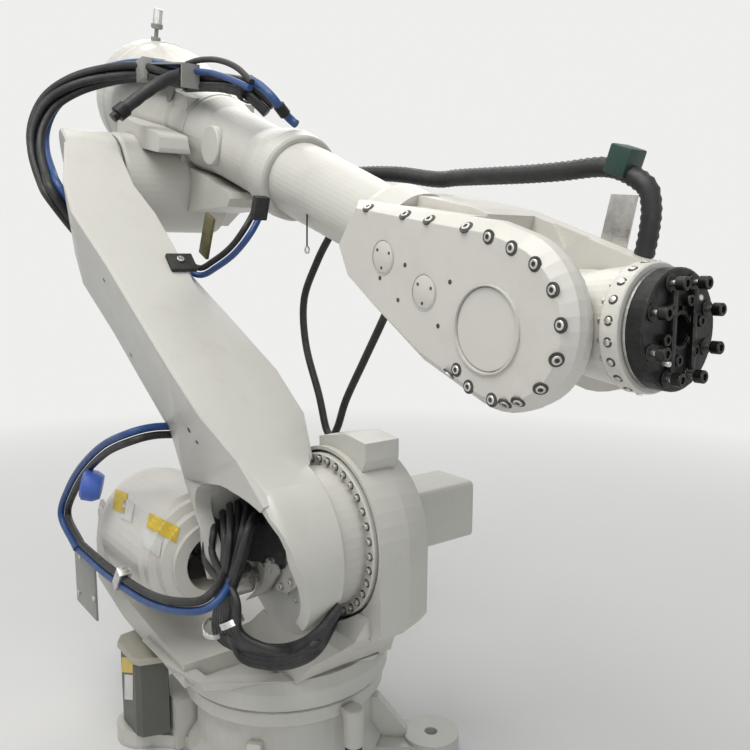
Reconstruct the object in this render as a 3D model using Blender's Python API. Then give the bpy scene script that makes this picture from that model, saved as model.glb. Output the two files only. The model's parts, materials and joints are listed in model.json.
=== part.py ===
"""Six-axis industrial robot arm, standing in a working pose.

Metres, +Z up. The origin is on the floor, on the axis that the whole robot turns about. +X is forward.
Each moving body has an empty on its joint, turned as the body stands, and its pieces are modelled in that
empty's own coordinates.
"""

from math import atan2, cos, hypot, pi, radians, sin, tau

import bmesh
import bpy
from mathutils import Matrix, Vector

# Main lengths between the joint axes
SHOULDER_X = 0.320
SHOULDER_Z = 0.780
LOWER_ARM_LENGTH = 1.280
ROLL_AXIS_LIFT = 0.200
UPPER_ARM_LENGTH = 1.5925

# The pose
LOWER_ARM_LEAN = radians(-42.4)
UPPER_ARM_PITCH = radians(19.4)
TOOL_PITCH = radians(-0.7)

# Gaps
SEAT_GAP = 0.0003
RUNNING_GAP = 0.006

# Base
BASE_HEIGHT = 0.276
DRUM_RADIUS = 0.268
DRUM_RIM_RADIUS = DRUM_RADIUS + 0.032
DRUM_RIM_HEIGHT = 0.044
BEARING_RADIUS = 0.190
FOOT_X = 0.300
FOOT_Y = 0.337
FOOT_RADIUS = 0.085
FOOT_THICKNESS = 0.055
FOOT_ARM_WIDTH = 0.190
FOOT_HOLE_RADIUS = 0.020
GUSSET_HEIGHT = 0.170
GUSSET_THICKNESS = 0.040

# Connection box on the base
BOX_BOTTOM = 0.060
BOX_HEIGHT = BASE_HEIGHT - 0.041
LID_OVERHANG = 0.012
LID_THICKNESS = 0.022

# Frame
TURRET_RADIUS = 0.314
TURRET_BOTTOM = BASE_HEIGHT + RUNNING_GAP
TURRET_RIM_HEIGHT = 0.050
TURRET_TOP = 0.366
EAR_INNER_Y = -0.054
EAR_STEP_Y = 0.036
EAR_OUTER_Y = 0.105
EAR_RADIUS = 0.232
EAR_BACK_RADIUS = 0.219
EAR_TOE_X = 0.207
EAR_TOE_Z = 0.556
CRADLE_Y = -0.245
CRADLE_TOP = 0.452

# Shoulder gearbox and motor
GEAR_BODY_RADIUS = 0.184
GEAR_FLANGE_RADIUS = 0.215
GEAR_FLANGE_THICKNESS = 0.014
GEAR_ROOM_RADIUS = 0.222
GEAR_END_Y = -0.150
MOTOR_LENGTH = 0.300
MOTOR_SIDE = 0.165

# Balancer
BALANCER_PIVOT_X = -0.560
BALANCER_Z = 0.655
BALANCER_RADIUS = 0.182
BALANCER_FRONT_X = 0.040
BALANCER_MOUTH_RADIUS = 0.082
BALANCER_WALL = 0.030
ROD_RADIUS = 0.020
ROD_LENGTH = 0.400
ROD_PIN_REACH = 0.184

# Lower arm
HUB_RADIUS = 0.225
HUB_WALL = 0.036
HUB_SLOT_OUTER_Y = -0.290
HUB_SLOT_INNER_Y = -0.194
HUB_INNER_Y = GEAR_END_Y - RUNNING_GAP
ARM_SIDE_DRAFT = 0.30
ARM_TOP_RADIUS = 0.150
ARM_TOP_OUTER_Y = -0.404
ARM_TOP_INNER_Y = -0.290

# Upper arm
ELBOW_BOSS_RADIUS = 0.152
ELBOW_MOTOR_Y = -0.226
HOUSING_DOME_X = -0.385
HOUSING_DOME_RADIUS = 0.205
# the housing's front end as (radius, x) about the roll axis
HOUSING_NOSE = [(0.172, -0.130), (0.146, -0.030), (0.134, -0.012), (0.134, 0.004)]
NECK_START_X = 0.126
NECK_RADIUS = 0.102
NECK_FLANGE_RADIUS = 0.121
NECK_END_X = 0.631
TUBE_RADIUS = 0.099
WRIST_COLLAR = 0.560
WRIST_COVER_Y = -0.174
FORK_INNER_Y = 0.106
FORK_RADIUS = 0.163

# Tool end
TILT_BODY_RADIUS = 0.096
TILT_NECK_RADIUS = 0.104
TILT_RING_RADIUS = 0.1115
TILT_RING_START = 0.172
TILT_RING_END = 0.205
FLANGE_RADIUS = 0.100
ADAPTER_RADIUS = 0.102
ADAPTER_START = 0.2135
ADAPTER_THICKNESS = 0.033

# Round pieces have this many sides
FINE = 48
COARSE = 28


def clear_scene():
    for obj in list(bpy.data.objects):
        bpy.data.objects.remove(obj, do_unlink=True)


def material(name, color, roughness, metallic=0.0):
    made = bpy.data.materials.new(name)
    made.use_nodes = True
    shader = made.node_tree.nodes["Principled BSDF"]
    shader.inputs["Base Color"].default_value = (*color, 1.0)
    shader.inputs["Roughness"].default_value = roughness
    shader.inputs["Metallic"].default_value = metallic
    return made


def link(name, mesh, parent, finish):
    obj = bpy.data.objects.new(name, mesh)
    bpy.context.scene.collection.objects.link(obj)
    obj.parent = parent
    mesh.materials.append(finish)
    return obj


def axis_empty(name, parent, place, pitch=0.0):
    empty = bpy.data.objects.new(name, None)
    bpy.context.scene.collection.objects.link(empty)
    empty.parent = parent
    empty.location = place
    empty.rotation_euler = (0.0, pitch, 0.0)
    return empty


def mesh_from(points, faces):
    mesh = bpy.data.meshes.new("shape")
    mesh.from_pydata([tuple(p) for p in points], [], faces)
    shape = bmesh.new()
    shape.from_mesh(mesh)
    bmesh.ops.recalc_face_normals(shape, faces=shape.faces)
    shape.to_mesh(mesh)
    shape.free()
    return mesh


def loft(sections):
    """A closed body through rings of equal count, capped at both ends."""
    count = len(sections[0])
    points = [p for ring in sections for p in ring]
    faces = [list(range(count)), list(range(len(points) - count, len(points)))]
    for level in range(len(sections) - 1):
        for i in range(count):
            a = level * count + i
            b = level * count + (i + 1) % count
            faces.append([a, b, b + count, a + count])
    return mesh_from(points, faces)


def place_on(axis, u, v, w):
    """(u, v) across the axis and w along it. Y keeps (x, z) as (u, v)."""
    return {"X": (w, u, v), "Y": (u, w, v), "Z": (u, v, w)}[axis]


def prism(outline, axis, start, end):
    return loft([[place_on(axis, u, v, w) for u, v in outline] for w in (start, end)])


def turned(profile, axis, center=(0.0, 0.0), sides=FINE):
    """A body of revolution: profile holds (radius, height) pairs from one end to the other."""
    rings = []
    for radius, height in profile:
        turn = [tau * i / sides for i in range(sides)]
        rings.append(
            [
                place_on(axis, center[0] + radius * cos(t), center[1] + radius * sin(t), height)
                for t in turn
            ]
        )
    return loft(rings)


def disc(axis, radius, start, end, center=(0.0, 0.0), sides=FINE, chamfer=0.0):
    if chamfer == 0.0:
        return turned([(radius, start), (radius, end)], axis, center, sides)
    inner = radius - chamfer
    return turned(
        [(inner, start), (radius, start + chamfer), (radius, end - chamfer), (inner, end)],
        axis,
        center,
        sides,
    )


def tube_ring(axis, outer, inner, start, end, center=(0.0, 0.0), sides=FINE):
    """A round ring with an open bore."""
    loops = []
    for radius, height in ((outer, start), (outer, end), (inner, end), (inner, start)):
        loops.append(
            [
                place_on(
                    axis,
                    center[0] + radius * cos(tau * i / sides),
                    center[1] + radius * sin(tau * i / sides),
                    height,
                )
                for i in range(sides)
            ]
        )
    points = [p for ring in loops for p in ring]
    faces = []
    for level in range(4):
        for i in range(sides):
            a = level * sides + i
            b = level * sides + (i + 1) % sides
            c = ((level + 1) % 4) * sides
            faces.append([a, b, c + (i + 1) % sides, c + i])
    return mesh_from(points, faces)


def block(low, high):
    (x0, y0, z0), (x1, y1, z1) = low, high
    return prism([(x0, z0), (x1, z0), (x1, z1), (x0, z1)], "Y", y0, y1)


def arc(center, radius, start, end, steps):
    """Points on an arc, angles in degrees."""
    turn = [radians(start + (end - start) * i / steps) for i in range(steps + 1)]
    return [(center[0] + radius * cos(t), center[1] + radius * sin(t)) for t in turn]


def rounded(outline, radius, steps=4):
    """The outline with each corner replaced by a tangent arc of this radius."""
    made = []
    count = len(outline)
    for i in range(count):
        before = Vector(outline[i - 1])
        corner = Vector(outline[i])
        after = Vector(outline[(i + 1) % count])
        to_before = (before - corner).normalized()
        to_after = (after - corner).normalized()
        half = to_before.angle(to_after) / 2
        reach = min(radius / max(1e-6, abs(sin(half) / cos(half))), (before - corner).length * 0.49)
        reach = min(reach, (after - corner).length * 0.49)
        first = corner + to_before * reach
        last = corner + to_after * reach
        for k in range(steps + 1):
            t = k / steps
            made.append(tuple(first * (1 - t) ** 2 + corner * 2 * t * (1 - t) + last * t**2))
    return made


def evaluated_mesh(obj):
    graph = bpy.context.evaluated_depsgraph_get()
    return bpy.data.meshes.new_from_object(obj.evaluated_get(graph))


def combined(body, others, operation):
    """The mesh of a body with the others joined to it or cut from it, one after another."""
    for other in others:
        first = bpy.data.objects.new("first", body)
        second = bpy.data.objects.new("second", other)
        bpy.context.scene.collection.objects.link(first)
        bpy.context.scene.collection.objects.link(second)
        step = first.modifiers.new("step", "BOOLEAN")
        step.object = second
        step.operation = operation
        step.solver = "EXACT"
        body = evaluated_mesh(first)
        bpy.data.objects.remove(first)
        bpy.data.objects.remove(second)
    return body


def joined(*meshes):
    return combined(meshes[0], meshes[1:], "UNION")


def cut(body, *cutters):
    return combined(body, cutters, "DIFFERENCE")


def smooth(obj, angle=32):
    obj.data.shade_smooth()
    obj.data.set_sharp_from_angle(angle=radians(angle))
    return obj


def beveled(obj, width, segments=2, limit=32):
    """A rounded edge on the sharp corners of an object."""
    edge = obj.modifiers.new("edge", "BEVEL")
    edge.width = width
    edge.segments = segments
    edge.limit_method = "ANGLE"
    edge.angle_limit = radians(limit)
    return obj


def turned_about_z(mesh, angle, shift=(0.0, 0.0, 0.0)):
    mesh.transform(Matrix.Translation(shift) @ Matrix.Rotation(angle, 4, "Z"))
    return mesh


def base_foot(sign_x, sign_y):
    """One foot arm, from the drum out to its bolt pad, with an upright gusset."""
    angle = atan2(sign_y * FOOT_Y, sign_x * FOOT_X)
    reach = hypot(FOOT_X, FOOT_Y)
    half = FOOT_ARM_WIDTH / 2
    arm = prism(
        [(0.0, -half), (reach, -FOOT_RADIUS * 0.8), (reach, FOOT_RADIUS * 0.8), (0.0, half)],
        "Z",
        0.0,
        FOOT_THICKNESS * 0.8,
    )
    pad = disc("Z", FOOT_RADIUS, 0.0, FOOT_THICKNESS, (reach, 0.0), COARSE)
    profile = [
        (DRUM_RADIUS - 0.03, 0.01),
        (reach - FOOT_RADIUS * 0.9, 0.01),
        (reach - FOOT_RADIUS * 0.9, FOOT_THICKNESS + 0.01),
        (DRUM_RADIUS + 0.02, GUSSET_HEIGHT),
        (DRUM_RADIUS - 0.03, GUSSET_HEIGHT),
    ]
    gusset = prism(profile, "Y", -GUSSET_THICKNESS / 2, GUSSET_THICKNESS / 2)
    return [turned_about_z(mesh, angle) for mesh in (arm, pad, gusset)]


def base_casting(parent, finish):
    drum = turned(
        [
            (DRUM_RADIUS + 0.030, 0.0),
            (DRUM_RADIUS + 0.030, FOOT_THICKNESS),
            (DRUM_RADIUS, FOOT_THICKNESS + 0.040),
            (DRUM_RADIUS, BASE_HEIGHT - DRUM_RIM_HEIGHT - 0.016),
            (DRUM_RIM_RADIUS, BASE_HEIGHT - DRUM_RIM_HEIGHT),
            (DRUM_RIM_RADIUS, BASE_HEIGHT - 0.006),
            (DRUM_RIM_RADIUS - 0.006, BASE_HEIGHT),
            (BEARING_RADIUS, BASE_HEIGHT),
            (BEARING_RADIUS, TURRET_BOTTOM - SEAT_GAP),
        ],
        "Z",
    )
    pieces = [drum]
    for sign_x in (1, -1):
        for sign_y in (1, -1):
            pieces += base_foot(sign_x, sign_y)
    bracket = block((-0.300, -0.300, 0.010), (-0.140, -0.060, BOX_BOTTOM + 0.110))
    body = joined(*pieces, bracket)
    holes = [prism(box_outline(LID_OVERHANG - SEAT_GAP * 2), "Z", BOX_BOTTOM - SEAT_GAP, 0.500)]
    for sign_x in (1, -1):
        for sign_y in (1, -1):
            place = (sign_x * FOOT_X, sign_y * FOOT_Y)
            holes.append(disc("Z", FOOT_HOLE_RADIUS, -0.01, FOOT_THICKNESS + 0.05, place, 16))
    return smooth(link("base_casting", cut(body, *holes), parent, finish))


def box_outline(inset):
    """The connection box from above, its outline moved in towards its middle by the inset."""
    lid = [(-0.331, -0.404), (-0.371, -0.380), (-0.381, -0.314), (-0.331, -0.262)]
    lid += [(-0.200, -0.284), (-0.150, -0.306), (-0.178, -0.392), (-0.202, -0.404)]
    middle = sum((Vector(p) for p in lid), Vector((0.0, 0.0))) / len(lid)
    return [tuple(middle + (Vector(p) - middle) * (1 - inset / 0.100)) for p in lid]


def connection_box(parent, wall_finish, lid_finish):
    top = BOX_BOTTOM + BOX_HEIGHT
    walls = prism(box_outline(LID_OVERHANG), "Z", BOX_BOTTOM, top)
    link("connection_box", walls, parent, wall_finish)
    lid = prism(box_outline(0.0), "Z", top + SEAT_GAP, top + LID_THICKNESS)
    beveled(link("connection_box_lid", lid, parent, lid_finish), 0.004)


def turntable():
    """The round underside, and the many-sided top rim that overhangs it on the balancer's side."""
    rim_top = TURRET_BOTTOM + TURRET_RIM_HEIGHT
    table = turned(
        [
            (TURRET_RADIUS - 0.006, TURRET_BOTTOM),
            (TURRET_RADIUS, TURRET_BOTTOM + 0.006),
            (TURRET_RADIUS, rim_top),
            (TURRET_RADIUS - 0.020, TURRET_TOP - 0.004),
        ],
        "Z",
    )
    rim = [(0.272, -0.130), (0.130, -0.345), (-0.030, -0.375), (-0.200, -0.375), (-0.290, -0.150)]
    rim += [(-0.300, 0.150), (-0.150, 0.290), (0.150, 0.290), (0.290, 0.140)]
    top = loft([[(x * k, y * k, z) for x, y in rim] for k, z in ((0.94, rim_top + 0.002), (1.0, TURRET_TOP))])
    pocket = loft(
        [
            [(x, y, z) for x, y in rounded(outline, 0.030, 3)]
            for outline, z in (
                ([(0.190, -0.115), (0.100, -0.290), (-0.150, -0.300), (-0.150, -0.110)], rim_top + 0.004),
                ([(0.245, -0.112), (0.118, -0.318), (-0.165, -0.340), (-0.165, -0.105)], TURRET_TOP + 0.010),
            )
        ]
    )
    return cut(joined(table, top), pocket)


def ear():
    """The upright disc that holds the shoulder gearbox, its shoulder block and its front toe."""
    sx, sz = SHOULDER_X, SHOULDER_Z
    outer = [(sx + EAR_TOE_X, EAR_TOE_Z), (sx + EAR_RADIUS - 0.001, EAR_TOE_Z + 0.030)]
    outer += arc((sx, sz), EAR_RADIUS, 0, 196, 22) + [(sx - 0.190, EAR_TOE_Z)]
    shrink = EAR_BACK_RADIUS / EAR_RADIUS
    front = [(x, EAR_INNER_Y, z) for x, z in outer]
    middle = [(x, EAR_STEP_Y, z) for x, z in outer]
    back = [(sx + (x - sx) * shrink, EAR_OUTER_Y, sz + (z - sz) * shrink) for x, z in outer]
    shoulder_block = prism(
        [(sx - 0.060, 0.930), (sx + 0.110, 0.930), (sx + 0.146, 1.000), (sx + 0.146, 1.046)]
        + [(sx + 0.060, 1.056), (sx - 0.060, 1.030)],
        "Y",
        EAR_INNER_Y + 0.016,
        EAR_STEP_Y + 0.030,
    )
    return joined(loft([front, middle, back]), shoulder_block)


def pedestal():
    """The leaning block between the turntable and the ear. Its front hangs over the base."""
    levels = [
        ((-0.110, 0.270), (-0.132, 0.200), TURRET_TOP - 0.012),
        ((0.020, 0.350), (-0.126, 0.150), 0.440),
        ((0.120, 0.470), (-0.118, 0.112), 0.530),
        ((0.135, 0.512), (-0.104, 0.100), 0.566),
        ((0.140, 0.505), (-0.058, 0.098), 0.612),
    ]
    sections = []
    for (rear, front), (right, left), z in levels:
        sections.append([(rear, right, z), (front, right, z), (front, left, z), (rear, left, z)])
    return loft(sections)


def cradle():
    """The beam that carries the balancer, with two lugs at its rear."""
    side = [(-0.655, CRADLE_TOP), (-0.655, 0.405), (-0.420, 0.348), (0.050, 0.318), (0.050, TURRET_TOP + 0.020)]
    side += [(-0.120, TURRET_TOP + 0.030), (-0.420, 0.430), (-0.560, CRADLE_TOP)]
    beam = prism(side, "Y", CRADLE_Y - 0.105, CRADLE_Y + 0.145)
    pieces = [beam]
    for offset in (-0.090, 0.090):
        lug = [(-0.652, CRADLE_TOP - 0.020), (-0.500, CRADLE_TOP - 0.030)]
        lug += arc((BALANCER_PIVOT_X, BALANCER_Z), 0.050, 0, 180, 8) + [(-0.652, 0.540)]
        middle = CRADLE_Y + offset
        pieces.append(prism(lug, "Y", middle - 0.016, middle + 0.016))
    return joined(*pieces)


def turret(parent, finish):
    """The rotating frame."""
    center = (SHOULDER_X, SHOULDER_Z)
    body = joined(turntable(), pedestal(), ear(), cradle())
    bore = disc("Y", GEAR_ROOM_RADIUS, EAR_INNER_Y - 0.200, EAR_INNER_Y + 0.030, center)
    deep_bore = disc("Y", GEAR_FLANGE_RADIUS - 0.020, EAR_INNER_Y - 0.010, EAR_OUTER_Y - 0.050, center)
    pin_hole = disc("Y", 0.026, CRADLE_Y - 0.2, CRADLE_Y + 0.2, (BALANCER_PIVOT_X, BALANCER_Z), 20)
    swing = disc("X", BALANCER_RADIUS + 0.012, -0.470, 0.120, (CRADLE_Y, BALANCER_Z - 0.012))
    body = cut(body, bore, deep_bore, pin_hole, swing)
    return smooth(link("turret_frame", body, parent, finish))


def stop_pin(parent, finish, rubber):
    """The upright stop at the drum's side, with a rubber end below."""
    place = (DRUM_RIM_RADIUS + 0.031, 0.022)
    low = BASE_HEIGHT - 0.126
    pin = disc("Z", 0.0285, low, BASE_HEIGHT - 0.014, place, COARSE, 0.003)
    lug_low = (DRUM_RIM_RADIUS - 0.015, place[1] - 0.022, BASE_HEIGHT - 0.040)
    lug = block(lug_low, (place[0], place[1] + 0.022, BASE_HEIGHT - 0.018))
    rim_room = disc("Z", DRUM_RIM_RADIUS + SEAT_GAP, BASE_HEIGHT - 0.056, BASE_HEIGHT + 0.004, (0.0, 0.0), FINE)
    smooth(link("stop_pin", cut(joined(pin, lug), rim_room), parent, finish))
    end = disc("Z", 0.024, low - 0.022, low - SEAT_GAP, place, COARSE, 0.003)
    smooth(link("stop_pin_end", end, parent, rubber))


def shoulder_gear(parent, finish, motor_finish):
    center = (SHOULDER_X, SHOULDER_Z)
    face = EAR_INNER_Y - GEAR_FLANGE_THICKNESS + 0.004
    housing = turned(
        [
            (GEAR_FLANGE_RADIUS - 0.021, EAR_OUTER_Y - 0.05 - SEAT_GAP),
            (GEAR_FLANGE_RADIUS - 0.021, EAR_INNER_Y + 0.030 - SEAT_GAP),
            (GEAR_FLANGE_RADIUS, EAR_INNER_Y + 0.030 - SEAT_GAP),
            (GEAR_FLANGE_RADIUS, face + 0.003),
            (GEAR_FLANGE_RADIUS - 0.003, face),
            (GEAR_BODY_RADIUS, face),
            (GEAR_BODY_RADIUS, GEAR_END_Y + 0.002),
            (GEAR_BODY_RADIUS - 0.002, GEAR_END_Y),
            (0.150, GEAR_END_Y),
            (0.150, HUB_INNER_Y + SEAT_GAP),
        ],
        "Y",
        center,
    )
    smooth(link("shoulder_gearbox", housing, parent, finish))
    start = EAR_OUTER_Y + SEAT_GAP
    flange = disc("Y", 0.120, start, start + 0.030, center, COARSE, 0.004)
    half = MOTOR_SIDE / 2
    body_outline = rounded([(-half, -half), (half, -half), (half, half), (-half, half)], 0.018, 3)
    outline = [(center[0] + u - 0.012, center[1] + v - 0.005) for u, v in body_outline]
    body = prism(outline, "Y", start + 0.01, start + MOTOR_LENGTH)
    smooth(link("shoulder_motor", joined(flange, body), parent, motor_finish))


def balancer(parent, finish):
    """Pivots at its rear lug. The front is open, where the rod goes in. Local X is the cylinder's axis."""
    front = BALANCER_FRONT_X - BALANCER_PIVOT_X
    rear = 0.090
    radius = BALANCER_RADIUS
    profile = [(0.060, rear - 0.030), (0.105, rear - 0.012), (0.150, rear + 0.020), (radius - 0.008, rear + 0.070)]
    profile += [(radius, rear + 0.110), (radius, front - 0.100), (radius - 0.012, front - 0.090)]
    profile += [(radius - 0.012, front - 0.062), (radius - 0.036, front - 0.054), (radius - 0.036, front - 0.026)]
    profile += [(radius - 0.064, front - 0.018), (radius - 0.064, front)]
    shell = turned(profile, "X", (0.0, 0.0))
    eye = disc("Y", 0.046, -0.050, 0.050, (0.0, 0.0), COARSE)
    lug = joined(eye, block((0.005, -0.044, -0.040), (rear + 0.01, 0.044, 0.040)))
    body = joined(shell, lug)
    bore = disc("X", BALANCER_RADIUS - BALANCER_WALL, rear + 0.150, front - 0.100)
    mouth = disc("X", BALANCER_MOUTH_RADIUS, front - 0.150, front + 0.05)
    pin_hole = disc("Y", 0.0262, -0.1, 0.1, (0.0, 0.0), 20)
    return smooth(link("balancer_cylinder", cut(body, bore, mouth, pin_hole), parent, finish))


def balancer_pin(parent, finish):
    pin = disc("Y", 0.0255, CRADLE_Y - 0.118, CRADLE_Y + 0.118, (BALANCER_PIVOT_X, BALANCER_Z), 20)
    smooth(link("balancer_pin", pin, parent, finish))


def balancer_rod(parent, finish):
    """The rod, from its eye on the lower arm's pin back into the cylinder along local -X."""
    eye = disc("Y", 0.042, -0.026, 0.026, (0.0, 0.0), COARSE)
    shaft = disc("X", ROD_RADIUS, -ROD_LENGTH, 0.0, (0.0, 0.0), 20)
    hole = disc("Y", 0.0212, -0.1, 0.1, (0.0, 0.0), 20)
    smooth(link("balancer_rod", cut(joined(eye, shaft), hole), parent, finish))


def arm_section(z, outer, crease, ridge, inner, front, rear):
    """One level of the lower arm. The outer side slants, and the inner front corner falls off in two bands."""
    ridge_x = front - 0.028
    inner_x = front - 0.052
    rear_outer = outer + ARM_SIDE_DRAFT * (front - rear)
    return [
        (rear + 0.015, rear_outer - 0.005, z),
        (front - 0.006, outer, z),
        (front, outer + 0.006, z),
        (front, crease, z),
        (ridge_x, ridge, z),
        (inner_x, inner, z),
        (rear + 0.020, inner - 0.020, z),
        (rear, inner - 0.040, z),
        (rear, rear_outer + 0.010, z),
    ]


def arm_shaft():
    low, high = 0.280, LOWER_ARM_LENGTH - 0.300
    stretch = (high - low) / 0.700
    levels = [
        (0.060, -0.318, -0.243, -0.170, -0.158, 0.217, -0.100),
        (0.150, -0.340, -0.252, -0.136, -0.112, 0.216, -0.110),
        (low, -0.392, -0.262, -0.134, -0.078, 0.209, -0.120),
        (low + 0.150 * stretch, -0.416, -0.249, -0.164, -0.096, 0.200, -0.126),
        (low + 0.340 * stretch, -0.446, -0.245, -0.214, -0.160, 0.189, -0.132),
        (low + 0.500 * stretch, -0.470, -0.258, -0.240, -0.216, 0.180, -0.138),
        (high, -0.508, -0.275, -0.262, -0.252, 0.168, -0.144),
        (LOWER_ARM_LENGTH - 0.180, -0.500, -0.302, -0.298, ARM_TOP_INNER_Y - 0.002, 0.160, -0.148),
        (LOWER_ARM_LENGTH, -0.452, -0.302, -0.298, ARM_TOP_INNER_Y - 0.002, 0.150, -0.149),
    ]
    return loft([arm_section(*level) for level in levels])


def arm_barrel():
    """The round top about the elbow axis, its outer end slanted like the arm's side."""
    top = LOWER_ARM_LENGTH
    turn = [tau * i / FINE for i in range(FINE)]
    rings = []
    for radius, slant, y in ((0.143, 1, ARM_TOP_OUTER_Y), (ARM_TOP_RADIUS, 1, ARM_TOP_OUTER_Y + 0.007)):
        ring = [(radius * cos(t), radius * sin(t)) for t in turn]
        rings.append([(u, y - slant * ARM_SIDE_DRAFT * u, top + v) for u, v in ring])
    for radius, y in ((ARM_TOP_RADIUS, ARM_TOP_INNER_Y - 0.007), (0.143, ARM_TOP_INNER_Y)):
        rings.append([(radius * cos(t), y, top + radius * sin(t)) for t in turn])
    return loft(rings)


def hub_front():
    """The curved front wall of the hub and the disc that the gearbox turns."""
    wall = arc((0.0, 0.0), HUB_RADIUS, -82, 62, 18) + arc((0.0, 0.0), HUB_RADIUS - HUB_WALL, 62, -82, 18)
    front = prism(wall, "Y", -0.380, HUB_INNER_Y - 0.004)
    inner = disc("Y", HUB_RADIUS - 0.008, HUB_SLOT_INNER_Y, HUB_INNER_Y, (0.0, 0.0), FINE, 0.006)
    return joined(front, inner)


def lower_arm(parent, finish):
    """A box-section casting with a wide window in the outer side of its hub, open at the rear."""
    body = joined(arm_shaft(), arm_barrel(), hub_front())
    slot = prism(
        [(-0.300, -0.300), (0.060, -0.300), (0.165, -0.110), (0.176, 0.060), (0.130, 0.130), (-0.300, 0.130)],
        "Y",
        HUB_SLOT_OUTER_Y - 0.012,
        HUB_SLOT_INNER_Y,
    )
    window = prism(
        [(-0.205, 0.040), (-0.198, 0.150), (-0.165, 0.205), (-0.110, 0.216), (-0.018, 0.197), (0.106, 0.143)]
        + [(0.205, 0.085), (0.300, 0.040), (0.300, -0.300), (-0.300, -0.300), (-0.300, 0.020)],
        "Y",
        -0.600,
        HUB_SLOT_OUTER_Y - 0.004,
    )
    edge = prism(
        [(-0.600, 0.110), (-0.342, 0.090), (-0.316, -0.015), (-0.288, -0.120), (-0.240, -0.205), (-0.205, -0.300)]
        + [(-0.600, -0.300)],
        "X",
        -0.400,
        0.400,
    )
    gear_room = disc("Y", GEAR_FLANGE_RADIUS + 0.006, HUB_INNER_Y, 0.100)
    body = cut(body, slot, window, edge, gear_room)
    return smooth(link("lower_arm_casting", body, parent, finish))


def hub_pieces(parent, finish, steel):
    """The gearbox's output flange inside the hub, and the pin that the balancer rod turns on."""
    face = HUB_SLOT_INNER_Y - SEAT_GAP
    pin_place = (-ROD_PIN_REACH, 0.0)
    pin = disc("Y", 0.0205, CRADLE_Y - 0.034, face, pin_place, 20)
    smooth(link("balancer_rod_pin", pin, parent, steel))
    flange = tube_ring("Y", 0.118, 0.060, face - 0.014, face, (0.0, 0.0), COARSE)
    smooth(link("hub_flange", flange, parent, finish))


def arm_housing(parent, finish):
    """The upper arm's housing: elbow boss, round rear cover and the face that carries the neck."""
    center = (0.0, ROLL_AXIS_LIFT)
    radius = HOUSING_DOME_RADIUS
    back = HOUSING_DOME_X
    steps = 9
    turns = [radians(90 - 90 * i / steps) for i in range(1, steps + 1)]
    profile = [(radius * cos(t), back - radius * sin(t)) for t in turns]
    profile += [(radius, back + 0.030), (radius - 0.004, back + 0.036), (radius - 0.004, back + 0.110)]
    profile += HOUSING_NOSE
    profile += [(NECK_FLANGE_RADIUS + 0.002, 0.012), (NECK_FLANGE_RADIUS + 0.002, NECK_START_X - SEAT_GAP)]
    barrel = turned(profile, "X", center)
    boss = disc("Y", ELBOW_BOSS_RADIUS, ARM_TOP_INNER_Y + RUNNING_GAP, 0.060, (0.0, 0.0), FINE, 0.008)
    seat = disc("Y", 0.120, ARM_TOP_INNER_Y + SEAT_GAP, -0.200, (0.0, 0.0), FINE)
    web_side = [(-0.300, 0.150), (-0.130, -0.060), (0.040, -0.120), (0.110, -0.052), (0.110, 0.300), (-0.200, 0.300)]
    web = prism(web_side, "Y", -0.110, 0.118)
    neck_room = disc("X", NECK_FLANGE_RADIUS + 0.004, NECK_START_X - SEAT_GAP, 0.300, center)
    body = cut(joined(barrel, boss, seat, web), neck_room)
    return smooth(link("arm_housing", body, parent, finish))


def neck_form(room=0.0):
    """The neck, or with room the cutter that leaves that gap around it."""
    start, end = NECK_START_X, NECK_END_X
    profile = [
        (NECK_FLANGE_RADIUS, start),
        (NECK_FLANGE_RADIUS, start + 0.022),
        (NECK_RADIUS + 0.004, start + 0.090),
        (NECK_RADIUS - 0.002, end - 0.160),
        (NECK_FLANGE_RADIUS - 0.004, end - 0.086),
        (NECK_FLANGE_RADIUS + 0.001, end - 0.040),
        (NECK_FLANGE_RADIUS - 0.004, end - 0.004),
        (NECK_FLANGE_RADIUS - 0.010, end),
    ]
    return turned([(radius + room, x) for radius, x in profile], "X", (0.0, ROLL_AXIS_LIFT))


def neck(parent, finish):
    start = NECK_START_X
    smooth(link("arm_neck", neck_form(), parent, finish))
    cover = disc("Y", 0.056, -0.112, -0.080, (start + 0.168, ROLL_AXIS_LIFT), COARSE, 0.003)
    body = cut(cover, neck_form(SEAT_GAP))
    smooth(link("neck_cover", body, parent, finish))


def elbow_motors(parent, finish):
    side = rounded([(-0.135, 0.098), (0.215, 0.150), (0.196, 0.200), (-0.140, 0.182)], 0.012, 2)
    motor = prism(side, "Y", ELBOW_MOTOR_Y, -0.060)
    barrel = turned([(0.1985, -0.280), (0.1735, -0.130), (0.1475, -0.030), (0.1355, 0.000)], "X", (0.0, ROLL_AXIS_LIFT))
    neck_side = disc("X", 0.1355, -0.010, 0.300, (0.0, ROLL_AXIS_LIFT))
    boss = disc("Y", ELBOW_BOSS_RADIUS + SEAT_GAP, -0.300, 0.0)
    smooth(link("elbow_motor", cut(motor, barrel, neck_side, boss), parent, finish))
    case_side = [(0.1105, -0.056), (0.405, 0.052), (0.412, 0.078), (0.396, 0.094), (0.1105, 0.094)]
    case = prism(case_side, "Y", -0.086, 0.086)
    flange_room = disc("X", NECK_FLANGE_RADIUS + 0.003, 0.050, 0.160, (0.0, ROLL_AXIS_LIFT))
    neck_room = turned([(0.1225, 0.140), (0.1125, 0.200), (0.1055, 0.270), (0.1045, 0.500)], "X", (0.0, ROLL_AXIS_LIFT))
    boss_room = disc("Y", ELBOW_BOSS_RADIUS + SEAT_GAP, -0.3, 0.0602)
    smooth(link("roll_motor_case", cut(case, flange_room, neck_room, boss_room), parent, finish))


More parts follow.
